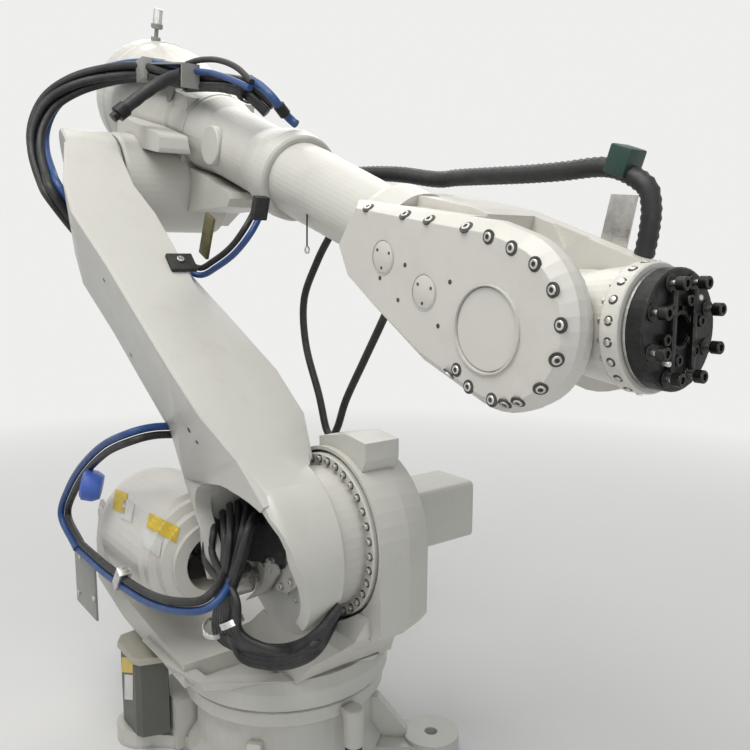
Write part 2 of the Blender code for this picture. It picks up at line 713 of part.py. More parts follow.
def hose_bracket(parent, finish):
    """The folded plate on the housing that the hose bundle is clamped to."""
    y = -0.115
    wall = prism([(-0.053, 0.293), (0.195, 0.341), (0.178, 0.403), (-0.070, 0.361)], "Y", y - 0.005, y)
    leg = prism([(-0.046, 0.240), (-0.014, 0.240), (0.040, 0.330), (-0.050, 0.310)], "Y", y - 0.005, y)
    shelf = prism([(-0.069, 0.356), (0.176, 0.398), (0.175, 0.403), (-0.070, 0.361)], "Y", y - 0.055, y - 0.001)
    end = prism([(0.188, 0.336), (0.195, 0.337), (0.178, 0.403), (0.171, 0.402)], "Y", y - 0.055, y - 0.001)
    barrel = turned([(r + 0.0004, x) for r, x in HOUSING_NOSE] + [(0.130, 0.010)], "X", (0.0, ROLL_AXIS_LIFT))
    body = cut(joined(wall, leg, shelf, end), barrel)
    link("hose_bracket", body, parent, finish)


def beacon(parent, base_finish, lens_finish):
    """The lamp on top of the housing: a stem, a dark collar, a clear lens and a cap."""
    place = (-0.372, -0.030)
    top = HOUSING_DOME_RADIUS + ROLL_AXIS_LIFT
    stem = turned([(0.016, top - 0.010), (0.016, top + 0.008), (0.007, top + 0.010), (0.007, top + 0.034)], "Z", place, 20)
    dome = disc("X", HOUSING_DOME_RADIUS + SEAT_GAP, -0.450, -0.350, (0.0, ROLL_AXIS_LIFT), FINE)
    smooth(link("beacon_stem", cut(stem, dome), parent, base_finish))
    collar = turned([(0.016, top + 0.034), (0.020, top + 0.038), (0.020, top + 0.050), (0.017, top + 0.052)], "Z", place, COARSE)
    smooth(link("beacon_collar", collar, parent, base_finish))
    lens = turned([(0.016, top + 0.0523), (0.016, top + 0.094), (0.012, top + 0.098)], "Z", place, COARSE)
    smooth(link("beacon_lens", lens, parent, lens_finish))


def tube(parent, finish):
    """The part of the upper arm that rolls: a tapered tube into the wrist's fork. Local origin: roll axis."""
    start = NECK_END_X + SEAT_GAP
    end = UPPER_ARM_LENGTH - WRIST_COLLAR - SEAT_GAP
    body = turned([(TUBE_RADIUS, start), (TUBE_RADIUS, start + 0.07), (TUBE_RADIUS - 0.009, end)], "X")
    smooth(link("arm_tube", body, parent, finish))


def fork_outline(grow):
    """The wrist seen from the side, about the tilt axis: a long tapered tail and a round end."""
    tail = -0.526 - grow
    return (
        [(tail + 0.038, 0.080 + grow), (tail, -0.027), (tail + 0.056, -0.085 - grow), (-0.371, -0.110 - grow)]
        + [(-0.175, -0.150 - grow)]
        + arc((0.003, 0.008), 0.160 + grow, -90, 90, 20)
        + [(-0.077, 0.165 + grow), (-0.222, 0.134 + grow)]
    )


def far_arm_outline(grow):
    """The fork's far side: flat on top, lower than the cover."""
    return (
        [(-0.500, 0.100), (-0.526, -0.027), (-0.470, -0.080), (-0.371, -0.104), (-0.175, -0.138)]
        + arc((0.0, 0.0), 0.143 + grow, -88, 60, 14)
        + [(0.050, 0.138), (-0.270, 0.134)]
    )


def wrist(parent, finish, cover_finish):
    """The wrist's fork, its outer cover and the bare round plate on it. Local origin: the tilt axis."""
    inner = FORK_INNER_Y
    near = prism(fork_outline(-0.004), "Y", -0.128, -0.020)
    far = prism(far_arm_outline(0.0), "Y", -0.030, 0.152)
    collar = turned([(0.094, -WRIST_COLLAR), (0.114, -0.520), (0.114, -0.440)], "X", (0.0, 0.0))
    body = joined(near, far, collar)
    gap_end = -0.224
    slot = prism([(gap_end, -0.3), (0.3, -0.3), (0.3, 0.3), (gap_end, 0.3)], "Y", -inner, inner)
    near_edge = TILT_RING_START - 0.014
    swing = arc((0.0, 0.0), near_edge, -142, 142, 28) + arc((0.0, 0.0), near_edge + 0.15, 142, -142, 28)
    relief = TILT_RING_RADIUS + RUNNING_GAP
    body = cut(body, slot, prism(swing, "Y", -relief, relief))
    side = TILT_BODY_RADIUS - 0.001
    bosses = [
        disc("Y", 0.070, -inner - 0.004, -side - SEAT_GAP, (0.0, 0.0), COARSE),
        disc("Y", 0.070, side + SEAT_GAP, inner + 0.004, (0.0, 0.0), COARSE),
    ]
    smooth(link("wrist_housing", joined(body, *bosses), parent, finish))

    outer = [(x, -0.128 - SEAT_GAP, z) for x, z in fork_outline(0.0)]
    middle = [(x, -0.150, z) for x, z in fork_outline(0.0)]
    face = [(x * 0.93 - 0.006, WRIST_COVER_Y, z * 0.86) for x, z in fork_outline(0.0)]
    cover = loft([outer, middle, face])
    recess = disc("Y", 0.0758, WRIST_COVER_Y - 0.01, WRIST_COVER_Y + 0.004, (-0.017, -0.014), FINE)
    smooth(link("wrist_side_cover", cut(cover, recess), parent, cover_finish), 20)
    plate = disc("Y", 0.0743, WRIST_COVER_Y + 0.0005, WRIST_COVER_Y + 0.004 - SEAT_GAP, (-0.017, -0.014), FINE)
    smooth(link("wrist_round_plate", plate, parent, cover_finish))
    hose_plate = prism([(-0.080, 0.100), (-0.015, 0.100), (-0.034, 0.237), (-0.093, 0.222)], "Y", 0.1523, 0.1563)
    link("hose_support_plate", hose_plate, parent, finish)


def tilt_unit(parent, finish):
    """The tilting housing. Local origin: tilt axis; +X is the tool direction."""
    side = TILT_BODY_RADIUS - 0.001
    hub = disc("Y", TILT_BODY_RADIUS, -side, side, (0.0, 0.0), FINE, 0.006)
    ring = TILT_RING_RADIUS
    nose = turned(
        [(side - 0.003, 0.0), (side - 0.003, 0.080), (TILT_BODY_RADIUS, 0.086), (TILT_NECK_RADIUS, 0.150)]
        + [(TILT_NECK_RADIUS + 0.001, TILT_RING_START - 0.002), (ring, TILT_RING_START)]
        + [(ring, TILT_RING_END - 0.003), (ring - 0.003, TILT_RING_END)],
        "X",
    )
    smooth(link("tilt_housing", joined(hub, nose), parent, finish))


def tool_end(parent, steel, black):
    start = TILT_RING_END + SEAT_GAP
    flange_end = ADAPTER_START - SEAT_GAP
    profile = [(0.076, start), (0.076, start + 0.0025), (FLANGE_RADIUS, start + 0.003), (FLANGE_RADIUS, flange_end)]
    smooth(link("tool_flange", turned(profile, "X"), parent, steel))
    end = ADAPTER_START + ADAPTER_THICKNESS
    adapter = disc("X", ADAPTER_RADIUS, ADAPTER_START, end, (0.0, 0.0), FINE, 0.003)
    slot = block((0.150, -0.006, -0.030), (0.350, 0.006, 0.040))
    pilot = disc("X", 0.025, ADAPTER_START + 0.010, 0.350, (0.0, 0.0), COARSE)
    smooth(link("tool_adapter", cut(adapter, pilot, slot), parent, black))


def build():
    clear_scene()
    paint = material("foundry_white", (0.80, 0.79, 0.76), 0.45)
    bright = material("cover_white", (0.86, 0.85, 0.81), 0.40)
    grey = material("dark_grey_paint", (0.20, 0.20, 0.18), 0.55)
    beige = material("lid_beige", (0.66, 0.63, 0.56), 0.50)
    steel = material("steel", (0.60, 0.60, 0.60), 0.30, 1.0)
    bracket = material("bracket_grey", (0.42, 0.42, 0.40), 0.45, 0.3)
    rubber = material("black_rubber", (0.02, 0.02, 0.02), 0.80)
    lens = material("clear_lens", (0.80, 0.82, 0.80), 0.10)
    black = material("black_oxide", (0.02, 0.02, 0.02), 0.45, 0.6)

    ground = axis_empty("base_axis", None, (0.0, 0.0, 0.0))
    base_casting(ground, paint)
    connection_box(ground, grey, beige)

    turn = axis_empty("turn_axis", None, (0.0, 0.0, 0.0))
    turret(turn, paint)
    shoulder_gear(turn, paint, paint)
    stop_pin(ground, paint, rubber)
    balancer_pin(turn, steel)

    shoulder = axis_empty("shoulder_axis", turn, (SHOULDER_X, 0.0, SHOULDER_Z), LOWER_ARM_LEAN)
    lower_arm(shoulder, paint)
    hub_pieces(shoulder, paint, steel)

    pin_x = SHOULDER_X - ROD_PIN_REACH * cos(LOWER_ARM_LEAN)
    pin_z = SHOULDER_Z + ROD_PIN_REACH * sin(LOWER_ARM_LEAN)
    rise = atan2(pin_z - BALANCER_Z, pin_x - BALANCER_PIVOT_X)
    pivot = axis_empty("balancer_axis", turn, (BALANCER_PIVOT_X, CRADLE_Y, BALANCER_Z), -rise)
    balancer(pivot, bright)
    rod_axis = axis_empty("balancer_rod_axis", turn, (pin_x, CRADLE_Y, pin_z), -rise)
    balancer_rod(rod_axis, steel)

    elbow_x = SHOULDER_X + LOWER_ARM_LENGTH * sin(LOWER_ARM_LEAN)
    elbow_z = SHOULDER_Z + LOWER_ARM_LENGTH * cos(LOWER_ARM_LEAN)
    elbow = axis_empty("elbow_axis", None, (elbow_x, 0.0, elbow_z), UPPER_ARM_PITCH)
    arm_housing(elbow, paint)
    neck(elbow, paint)
    elbow_motors(elbow, paint)
    hose_bracket(elbow, bracket)
    beacon(elbow, bracket, lens)

    roll = axis_empty("roll_axis", elbow, (0.0, 0.0, ROLL_AXIS_LIFT))
    tube(roll, paint)
    wrist_axis = axis_empty("wrist_axis", elbow, (UPPER_ARM_LENGTH, 0.0, ROLL_AXIS_LIFT))
    wrist(wrist_axis, bright, bright)
    tool = axis_empty("tilt_axis", wrist_axis, (0.0, 0.0, 0.0), TOOL_PITCH - UPPER_ARM_PITCH)
    tilt_unit(tool, bright)
    tool_end(tool, steel, black)


build()
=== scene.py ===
"""The looks of the six-axis robot arm: paint, screws, hoses, clamps, blank labels, light and camera."""

import json
from math import atan2, cos, hypot, pi, radians, sin, tau

import bmesh
import bpy
from mathutils import Matrix, Vector


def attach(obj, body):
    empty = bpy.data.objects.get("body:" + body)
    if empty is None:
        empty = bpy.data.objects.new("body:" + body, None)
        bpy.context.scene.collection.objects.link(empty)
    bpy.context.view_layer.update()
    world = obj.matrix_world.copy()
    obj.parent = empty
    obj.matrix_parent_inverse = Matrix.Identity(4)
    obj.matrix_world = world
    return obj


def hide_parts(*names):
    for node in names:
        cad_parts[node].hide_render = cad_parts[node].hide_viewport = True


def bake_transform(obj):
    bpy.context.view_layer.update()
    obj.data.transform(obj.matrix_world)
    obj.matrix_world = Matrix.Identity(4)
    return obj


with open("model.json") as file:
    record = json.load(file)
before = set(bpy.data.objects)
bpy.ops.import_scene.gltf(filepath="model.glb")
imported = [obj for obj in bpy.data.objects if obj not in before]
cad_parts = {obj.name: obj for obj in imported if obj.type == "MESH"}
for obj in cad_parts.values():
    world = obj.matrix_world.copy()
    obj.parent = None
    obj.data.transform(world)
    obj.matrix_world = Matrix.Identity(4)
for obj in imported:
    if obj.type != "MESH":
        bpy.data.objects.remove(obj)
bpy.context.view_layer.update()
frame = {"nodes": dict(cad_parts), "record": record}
NODES = frame["nodes"]
SURFACES = {}

# joint places and directions at rest, as in the frame
SHOULDER = Vector((0.32, 0.0, 0.78))
LOWER_ARM_LENGTH = 1.28
UPPER_ARM_LENGTH = 1.5925
ROLL_LIFT = 0.2
LEAN = radians(-42.4)
PITCH = radians(19.4)
TOOL_PITCH = radians(-0.7)

# the camera that took the photograph
CAMERA_PLACE = Vector((2.01, -1.1819, 1.5118))
CAMERA_AZIMUTH = radians(52.8)
CAMERA_DROP = radians(8.7)
CAMERA_ROLL = radians(0.2)
FOCAL_PIXELS = 803.6
PICTURE = 750
MIDDLE = PICTURE / 2


def turned_y(place, angle):
    return Matrix.Translation(place) @ Matrix.Rotation(angle, 4, "Y")


WORLD = Matrix.Identity(4)
ARM = turned_y(SHOULDER, LEAN)
ELBOW_PLACE = ARM @ Vector((0.0, 0.0, LOWER_ARM_LENGTH))
UPPER = turned_y(ELBOW_PLACE, PITCH)
WRIST = UPPER @ Matrix.Translation((UPPER_ARM_LENGTH, 0.0, ROLL_LIFT))
TOOL = turned_y(WRIST.translation, TOOL_PITCH)


def camera_axes():
    level = cos(CAMERA_DROP)
    forward = Vector((-sin(CAMERA_AZIMUTH) * level, cos(CAMERA_AZIMUTH) * level, -sin(CAMERA_DROP)))
    right = forward.cross(Vector((0.0, 0.0, 1.0))).normalized()
    up = right.cross(forward)
    c, s = cos(CAMERA_ROLL), sin(CAMERA_ROLL)
    return right * c + up * s, up * c - right * s, forward


RIGHT, UP, FORWARD = camera_axes()


def pixel_ray(px, py):
    return FORWARD + RIGHT * (px - MIDDLE) / FOCAL_PIXELS + UP * (MIDDLE - py) / FOCAL_PIXELS


def seen(px, py, y, place=WORLD):
    """The world point that the photograph shows at a pixel, on the plane y of a frame."""
    back = place.inverted()
    start = back @ CAMERA_PLACE
    along = back.to_3x3() @ pixel_ray(px, py)
    return place @ (start + along * ((y - start.y) / along.y))


# Materials


def fix(node, values):
    """Gives a node's sockets plain values."""
    for socket, value in values.items():
        node.inputs[socket].default_value = value


class Nodes:
    """A material's node tree with short calls for the nodes that the finishes share."""

    def __init__(self, name):
        self.material = bpy.data.materials.new(name)
        self.material.use_nodes = True
        self.tree = self.material.node_tree
        self.shader = self.tree.nodes["Principled BSDF"]
        self.place = self.add("ShaderNodeTexCoord").outputs["Object"]

    def add(self, kind, **values):
        node = self.tree.nodes.new(kind)
        for key, value in values.items():
            setattr(node, key, value)
        return node

    def join(self, output, target):
        self.tree.links.new(output, target)

    def noise(self, scale, detail=3.0, roughness=0.55):
        node = self.add("ShaderNodeTexNoise")
        fix(node, {"Scale": scale, "Detail": detail, "Roughness": roughness})
        self.join(self.place, node.inputs["Vector"])
        return node.outputs["Fac"]

    def ranged(self, value, low, high, to_low=0.0, to_high=1.0):
        node = self.add("ShaderNodeMapRange")
        fix(node, {"From Min": low, "From Max": high, "To Min": to_low, "To Max": to_high})
        self.join(value, node.inputs["Value"])
        return node.outputs["Result"]

    def times(self, first, second):
        node = self.add("ShaderNodeMath", operation="MULTIPLY")
        for socket, value in zip(node.inputs, (first, second)):
            if isinstance(value, float):
                socket.default_value = value
            else:
                self.join(value, socket)
        return node.outputs[0]

    def mixed(self, share, first, second):
        node = self.add("ShaderNodeMix", data_type="RGBA")
        self.join(share, node.inputs["Factor"])
        for socket, value in ((node.inputs[6], first), (node.inputs[7], second)):
            if isinstance(value, tuple):
                socket.default_value = (*value, 1.0)
            else:
                self.join(value, socket)
        return node.outputs[2]

    def bump(self, height, strength, distance, base=None):
        node = self.add("ShaderNodeBump")
        fix(node, {"Strength": strength, "Distance": distance})
        self.join(height, node.inputs["Height"])
        if base is not None:
            self.join(base, node.inputs["Normal"])
        return node.outputs["Normal"]

    def soft_edges(self, radius):
        """(normal with rounded edges, mask of the edges)."""
        bevel = self.add("ShaderNodeBevel", samples=4)
        fix(bevel, {"Radius": radius})
        normal = self.add("ShaderNodeNewGeometry").outputs["Normal"]
        dot = self.add("ShaderNodeVectorMath", operation="DOT_PRODUCT")
        self.join(bevel.outputs[0], dot.inputs[0])
        self.join(normal, dot.inputs[1])
        return bevel.outputs[0], self.ranged(dot.outputs["Value"], 0.985, 0.9)

    def occlusion_shade(self, distance):
        """Mask of the occluded corners, where painted shade darkens the colour."""
        node = self.add("ShaderNodeAmbientOcclusion", samples=6)
        fix(node, {"Distance": distance})
        return self.ranged(node.outputs["AO"], 0.85, 0.35)

    def color(self, output):
        self.join(output, self.shader.inputs["Base Color"])

    def rough(self, output):
        self.join(output, self.shader.inputs["Roughness"])

    def normal(self, output):
        self.join(output, self.shader.inputs["Normal"])


def shaded(color, factor):
    return tuple(channel * factor for channel in color)


def cast_paint(name, color, roughness, grain, edge=0.003, corner_shade_strength=0.55):
    """Semi-gloss paint over a casting: orange peel, faint uneven tone, painted shade in its occluded
    corners, rubbed edges.
    """
    n = Nodes(name)
    tone = n.mixed(n.ranged(n.noise(2.6, 4.0), 0.35, 0.65), shaded(color, 0.955), shaded(color, 1.025))
    stain = n.times(n.ranged(n.noise(9.0, 6.0, 0.7), 0.52, 0.72), 0.28)
    tone = n.mixed(stain, tone, (color[0] * 0.8, color[1] * 0.775, color[2] * 0.71))
    normal, edges = n.soft_edges(edge)
    rubbed = n.times(n.times(edges, n.ranged(n.noise(55.0, 4.0, 0.7), 0.44, 0.66)), 0.5)
    tone = n.mixed(rubbed, tone, (0.46, 0.45, 0.42))
    # painted shade: the colour goes towards a dark brown-grey where ambient occlusion is high, made uneven
    # by noise
    corner_shade = n.times(n.times(n.occlusion_shade(0.022), n.ranged(n.noise(14.0, 4.0), 0.3, 0.66, 0.35, 1.0)), corner_shade_strength)
    n.color(n.mixed(corner_shade, tone, (0.15, 0.138, 0.118)))
    n.rough(n.ranged(n.noise(24.0, 5.0, 0.65), 0.3, 0.7, roughness - 0.07, roughness + 0.09))
    n.normal(n.bump(n.noise(grain, 3.0), 0.22, 0.0009, normal))
    fix(n.shader, {"Coat Weight": 0.12, "Coat Roughness": 0.28})
    return n.material


def machined(name, color, roughness, scratch=0.35):
    """Turned or ground steel with fine scratches and a little oil film."""
    n = Nodes(name)
    film = n.ranged(n.noise(30.0, 5.0, 0.7), 0.35, 0.7)
    n.color(n.mixed(film, color, shaded(color, 0.66)))
    n.rough(n.ranged(n.noise(160.0, 4.0, 0.7), 0.3, 0.7, roughness - 0.08, roughness + 0.14))
    normal, _ = n.soft_edges(0.0008)
    n.normal(n.bump(n.noise(420.0, 2.0), scratch * 0.3, 0.0004, normal))
    fix(n.shader, {"Metallic": 1.0})
    return n.material


def black_finish(name, color, worn, roughness, metallic):
    """Black oxide or black paint that shows brighter metal at its rubbed edges."""
    n = Nodes(name)
    normal, edges = n.soft_edges(0.0014)
    tone = n.mixed(n.ranged(n.noise(38.0, 5.0, 0.7), 0.4, 0.7), color, shaded(color, 2.3))
    n.color(n.mixed(n.times(edges, n.ranged(n.noise(90.0, 3.0), 0.4, 0.65)), tone, worn))
    n.rough(n.ranged(n.noise(60.0, 4.0), 0.3, 0.7, roughness - 0.1, roughness + 0.12))
    n.normal(n.bump(n.noise(300.0, 3.0), 0.15, 0.0005, normal))
    fix(n.shader, {"Metallic": metallic})
    return n.material


def hose_skin(name, color, roughness, pitch):
    """Hose skin: a fine helical weave, dust on it and lighter scuffs."""
    n = Nodes(name)
    dust = n.ranged(n.noise(12.0, 5.0, 0.7), 0.48, 0.72, 0.0, 0.35)
    n.color(n.mixed(dust, color, tuple(0.08 + channel * 0.9 for channel in color)))
    n.rough(n.ranged(n.noise(50.0, 3.0), 0.3, 0.7, roughness - 0.08, roughness + 0.1))
    weave = n.add("ShaderNodeTexWave", wave_type="BANDS", bands_direction="DIAGONAL")
    fix(weave, {"Scale": pitch, "Distortion": 0.6})
    n.join(n.place, weave.inputs["Vector"])
    n.normal(n.bump(weave.outputs["Fac"], 0.25, 0.0007))
    return n.material


def sticker(name, color):
    """A blank vinyl label, a little dusty and yellowed."""
    n = Nodes(name)
    n.color(n.mixed(n.ranged(n.noise(26.0, 5.0, 0.7), 0.4, 0.7), color, shaded(color, 0.84)))
    n.rough(n.ranged(n.noise(70.0, 3.0), 0.3, 0.7, 0.28, 0.45))
    n.normal(n.bump(n.noise(120.0, 2.0), 0.08, 0.0006))
    return n.material


def clear_plastic(name):
    n = Nodes(name)
    n.color(n.mixed(n.ranged(n.noise(40.0), 0.4, 0.7), (0.72, 0.73, 0.71), (0.6, 0.61, 0.58)))
    n.rough(n.ranged(n.noise(90.0), 0.3, 0.7, 0.06, 0.16))
    fix(n.shader, {"Transmission Weight": 0.55, "IOR": 1.46})
    return n.material


WHITE = (0.64, 0.632, 0.585)
COVER_WHITE = (0.705, 0.69, 0.635)
LOOKS = {
    "foundry_white": cast_paint("foundry_white_paint", WHITE, 0.4, 240.0),
    "cover_white": cast_paint("cover_white_paint", COVER_WHITE, 0.36, 320.0, 0.003, 0.4),
    # painted shade: the box's walls get a dark grey for the shade on them below the pale lid
    "dark_grey_paint": cast_paint("box_wall_shade_paint", (0.105, 0.105, 0.095), 0.52, 320.0, 0.002, 0.3),
    "lid_beige": cast_paint("beige_lid_paint", (0.47, 0.445, 0.375), 0.48, 320.0, 0.002, 0.4),
    "bracket_grey": cast_paint("grey_bracket_paint", (0.3, 0.3, 0.28), 0.42, 380.0, 0.0015, 0.5),
    "steel": machined("machined_steel", (0.6, 0.59, 0.57), 0.3),
    "black_oxide": black_finish("black_oxide_steel", (0.012, 0.012, 0.012), (0.1, 0.1, 0.1), 0.42, 0.55),
    "black_rubber": black_finish("black_rubber_skin", (0.014, 0.014, 0.014), (0.03, 0.03, 0.03), 0.68, 0.0),
    "clear_lens": clear_plastic("clear_lens_plastic"),
}
SCREW = machined("screw_steel", (0.7, 0.69, 0.66), 0.3)
DARK_SCREW = black_finish("dark_screw_steel", (0.02, 0.02, 0.019), (0.14, 0.14, 0.13), 0.36, 0.8)
# a dark colour for the shade inside bores, pockets and holes: painted shade
BORE_SHADE = black_finish("shadowed_bore", (0.045, 0.043, 0.038), (0.08, 0.08, 0.07), 0.6, 0.0)
BLACK_HOSE = hose_skin("black_hose_skin", (0.012, 0.012, 0.013), 0.46, 260.0)
BLUE_HOSE = hose_skin("blue_hose_skin", (0.018, 0.068, 0.225), 0.38, 260.0)
GREEN_CLAMP = cast_paint("dark_green_clamp_paint", (0.006, 0.042, 0.03), 0.45, 300.0, 0.0015, 0.3)
OLIVE = machined("olive_zinc_plate", (0.235, 0.215, 0.12), 0.46, 0.6)
CHROME = machined("bright_clamp_steel", (0.74, 0.74, 0.73), 0.18)
YELLOW_LABEL = sticker("yellow_label_vinyl", (0.72, 0.52, 0.045))
WHITE_LABEL = sticker("white_label_vinyl", (0.74, 0.74, 0.71))
PALE_BLUE = cast_paint("pale_blue_plug_plastic", (0.055, 0.125, 0.5), 0.42, 400.0, 0.0015, 0.3)


def dress_frame():
    """The CAD nodes keep their shapes and get the finishes of their slots."""
    rows = {row["node"]: row["material_slot"] for row in frame["record"]["subparts"]}
    for name, node in NODES.items():
        for slot in node.material_slots:
            slot.material = LOOKS[rows[name]]


# Mesh helpers


def add_object(name, data):
    obj = bpy.data.objects.new(name, data)
    bpy.context.scene.collection.objects.link(obj)
    return obj


def add_mesh(name, bm):
    data = bpy.data.meshes.new(name)
    bm.to_mesh(data)
    bm.free()
    return add_object(name, data)


def piece(name, bm, body, slot, material=None, smooth=35):
    """A mesh in world coordinates that rides on a body, in its slot's finish or another."""
    obj = add_mesh(name, bm)
    obj.data.materials.append(material or LOOKS[slot])
    obj.data.shade_smooth()
    obj.data.set_sharp_from_angle(angle=radians(smooth))
    if body:
        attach(obj, body)
    return obj


def toward(point, direction):
    """A matrix at the point whose +Z looks along the direction."""
    turn = Vector(direction).normalized().to_track_quat("Z", "Y").to_matrix().to_4x4()
    return Matrix.Translation(point) @ turn


def axes_at(x, y, z, point):
    """A matrix at the point with these axes."""
    matrix = Matrix((x, y, z)).transposed().to_4x4()
    matrix.translation = point
    return matrix


def around(count, phase=0.0):
    """Even turns round a circle."""
    return [tau * (i + phase) / count for i in range(count)]


def ring(bm, place, radius, height, sides, phase=0.0):
    turns = [turn + phase for turn in around(sides)]
    spots = [Vector((radius * cos(turn), radius * sin(turn), height)) for turn in turns]
    return [bm.verts.new(place @ spot) for spot in spots]


def bridge(bm, first, second):
    count = len(first)
    for i in range(count):
        j = (i + 1) % count
        bm.faces.new((first[i], first[j], second[j], second[i]))


def skin(bm, rings):
    """A closed body through rings of points."""
    for first, second in zip(rings, rings[1:]):
        bridge(bm, first, second)
    bm.faces.new(list(reversed(rings[0])))
    bm.faces.new(rings[-1])


def turn_on(bm, place, profile, sides):
    """Turns (radius, height) steps into a closed body on a matrix."""
    rings = [ring(bm, place, max(radius, 1e-5), height, sides) for radius, height in profile]
    skin(bm, rings)


SOCKET_POINTS = 12


def cap_screw(bm, place, radius, height, sides=20):
    """A cylinder head screw with a hexagon socket. The head stands on the place's plane."""
    bottom = ring(bm, place, radius, 0.0, sides)
    side = ring(bm, place, radius, height - radius * 0.12, sides)
    rim = ring(bm, place, radius * 0.88, height, sides)
    lip = ring(bm, place, radius * 0.56, height, SOCKET_POINTS, pi / SOCKET_POINTS)
    deep = radius * 0.5
    socket = []
    for i, turn in enumerate(around(SOCKET_POINTS)):
        x = cos(turn) if i % 2 else cos(turn) * 0.9
        socket.append(bm.verts.new(place @ Vector((deep * x, deep * sin(turn), height - deep))))
    bm.faces.new(list(reversed(bottom)))
    bridge(bm, bottom, side)
    bridge(bm, side, rim)
    fill_between(bm, rim, lip)
    bridge(bm, lip, socket)
    bm.faces.new(socket)


def fill_between(bm, outer, inner):
    """Triangles between two loops of different counts that go round the same way."""
    i, j = 0, 0
    n, m = len(outer), len(inner)
    while i < n or j < m:
        if j * n >= i * m and i < n:
            bm.faces.new((outer[i % n], outer[(i + 1) % n], inner[j % m]))
            i += 1
        else:
            bm.faces.new((outer[i % n], inner[(j + 1) % m], inner[j % m]))
            j += 1


BORE_ROOM = 1.55
BORE_LIFT = 0.0015


def sunk_screw(screws, bore_shades, place, radius):
    """A cap screw that stands on a flat dark disc, painted shade for its counterbore."""
    turn_on(bore_shades, place, [(radius * BORE_ROOM, -0.002), (radius * BORE_ROOM, BORE_LIFT * 0.5)], 24)
    cap_screw(screws, place, radius, BORE_LIFT + radius * 0.3)


def box_on(bm, place, low, high, bevel):
    corners = [
        bm.verts.new(place @ Vector((x, y, z)))
        for x in (low[0], high[0])
        for y in (low[1], high[1])
        for z in (low[2], high[2])
    ]
    faces = ((0, 1, 3, 2), (4, 6, 7, 5), (0, 4, 5, 1), (2, 3, 7, 6), (0, 2, 6, 4), (1, 5, 7, 3))
    made = [bm.faces.new([corners[i] for i in face]) for face in faces]
    edges = list({edge for face in made for edge in face.edges})
    bmesh.ops.bevel(bm, geom=edges, offset=bevel, segments=2, affect="EDGES", profile=0.6)


CURVE_STEPS = 8


def smooth_path(points):
    """A Catmull-Rom curve through the points."""
    p = [Vector(q) for q in points]
    p = [p[0] * 2 - p[1]] + p + [p[-1] * 2 - p[-2]]
    path = []
    for i in range(1, len(p) - 2):
        for k in range(CURVE_STEPS):
            t = k / CURVE_STEPS
            a, b, c, d = p[i - 1], p[i], p[i + 1], p[i + 2]
            square = (2 * a - 5 * b + 4 * c - d) * t**2
            cube = (3 * b - a - 3 * c + d) * t**3
            path.append(0.5 * ((2 * b) + (c - a) * t + square + cube))
    path.append(p[-2])
    return path


def path_length(path):
    return sum((b - a).length for a, b in zip(path, path[1:]))


def even(path, step):
    """The same curve with points at even steps."""
    total = path_length(path)
    count = max(4, int(total / step))
    made, index, walked = [], 0, 0.0
    for k in range(count + 1):
        goal = total * k / count
        while index < len(path) - 2 and walked + (path[index + 1] - path[index]).length < goal:
            walked += (path[index + 1] - path[index]).length
            index += 1
        span = (path[index + 1] - path[index]).length
        share = min(1.0, max(0.0, (goal - walked) / max(span, 1e-9)))
        made.append(path[index].lerp(path[index + 1], share))
    return made


def frames_along(path):
    """Matrices along a path without twist, +Z along it."""
    made = []
    side = None
    for i, point in enumerate(path):
        ahead = (path[min(i + 1, len(path) - 1)] - path[max(i - 1, 0)]).normalized()
        if side is None:
            side = ahead.orthogonal().normalized()
        side = (side - ahead * side.dot(ahead)).normalized()
        made.append(axes_at(side, ahead.cross(side), ahead, point))
    return made


HOSE_SIDES = 12


def hose_mesh(path, radius, ribs):
    """A tube along the path. With ribs its skin goes in and out every other ring."""
    bm = bmesh.new()
    rings = []
    for i, place in enumerate(frames_along(path)):
        rings.append(ring(bm, place, radius - (ribs if i % 2 else 0.0), 0.0, HOSE_SIDES))
    skin(bm, rings)
    return bm


def beside(path, across, depth, twist):
    """The path moved sideways as the camera sees it and away from it, with a twist along its length."""
    moved = []
    reach, phase = hypot(across, depth), atan2(depth, across)
    for i, point in enumerate(path):
        turn = phase + twist * i / (len(path) - 1)
        across, depth = reach * cos(turn), reach * sin(turn)
        ahead = path[min(i + 1, len(path) - 1)] - path[max(i - 1, 0)]
        moved.append(point + FORWARD.cross(ahead).normalized() * across + FORWARD * depth)
    return moved


def hose(name, points, radius, material, bodies, ribs=0.0, step=None, offset=None):
    """A held hose along its route in the world: on one body it rides with that body; on two bodies it stays
    where it is in the world.
    """
    path = smooth_path(points)
    if offset is not None:
        path = beside(path, *offset)
    path = even(path, step or max(radius * 1.1, 0.006))
    obj = piece(name, hose_mesh(path, radius, ribs), None, "black_rubber", material, 60)
    if len(bodies) == 1:
        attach(obj, bodies[0])
    else:
        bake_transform(obj)


def band(bm, place, inner, outer, width, sides=24):
    """A closed ring strap along the place's Z."""
    half = width / 2
    rings = [
        ring(bm, place, inner, -half, sides),
        ring(bm, place, outer, -half, sides),
        ring(bm, place, outer, half, sides),
        ring(bm, place, inner, half, sides),
    ]
    for first, second in zip(rings, rings[1:] + rings[:1]):
        bridge(bm, first, second)


def tidy_normals(bm):
    bmesh.ops.recalc_face_normals(bm, faces=bm.faces)


def add_screws(name, bm, body):
    tidy_normals(bm)
    piece(name, bm, body, "steel", SCREW)


# The lower arm's casting, with the rounded hub window

HUB_SIDES = 96
HUB_RADIUS = 0.225
HUB_RIM = [(0.211, -0.318), (0.215, -0.314), (0.222, -0.306), (0.2245, -0.298), (HUB_RADIUS, -0.288)]
HUB_BACK_Y = -0.156
HUB_FLOOR_Y = -0.194
HUB_WALL = 0.026
SIDE_DRAFT = 0.30
ARM_TOP_RADIUS = 0.150
ARM_TOP_OUTER_Y = -0.404
ARM_TOP_INNER_Y = -0.290
GEAR_ROOM_RADIUS = 0.221
GEAR_ROOM_END_Y = 0.100
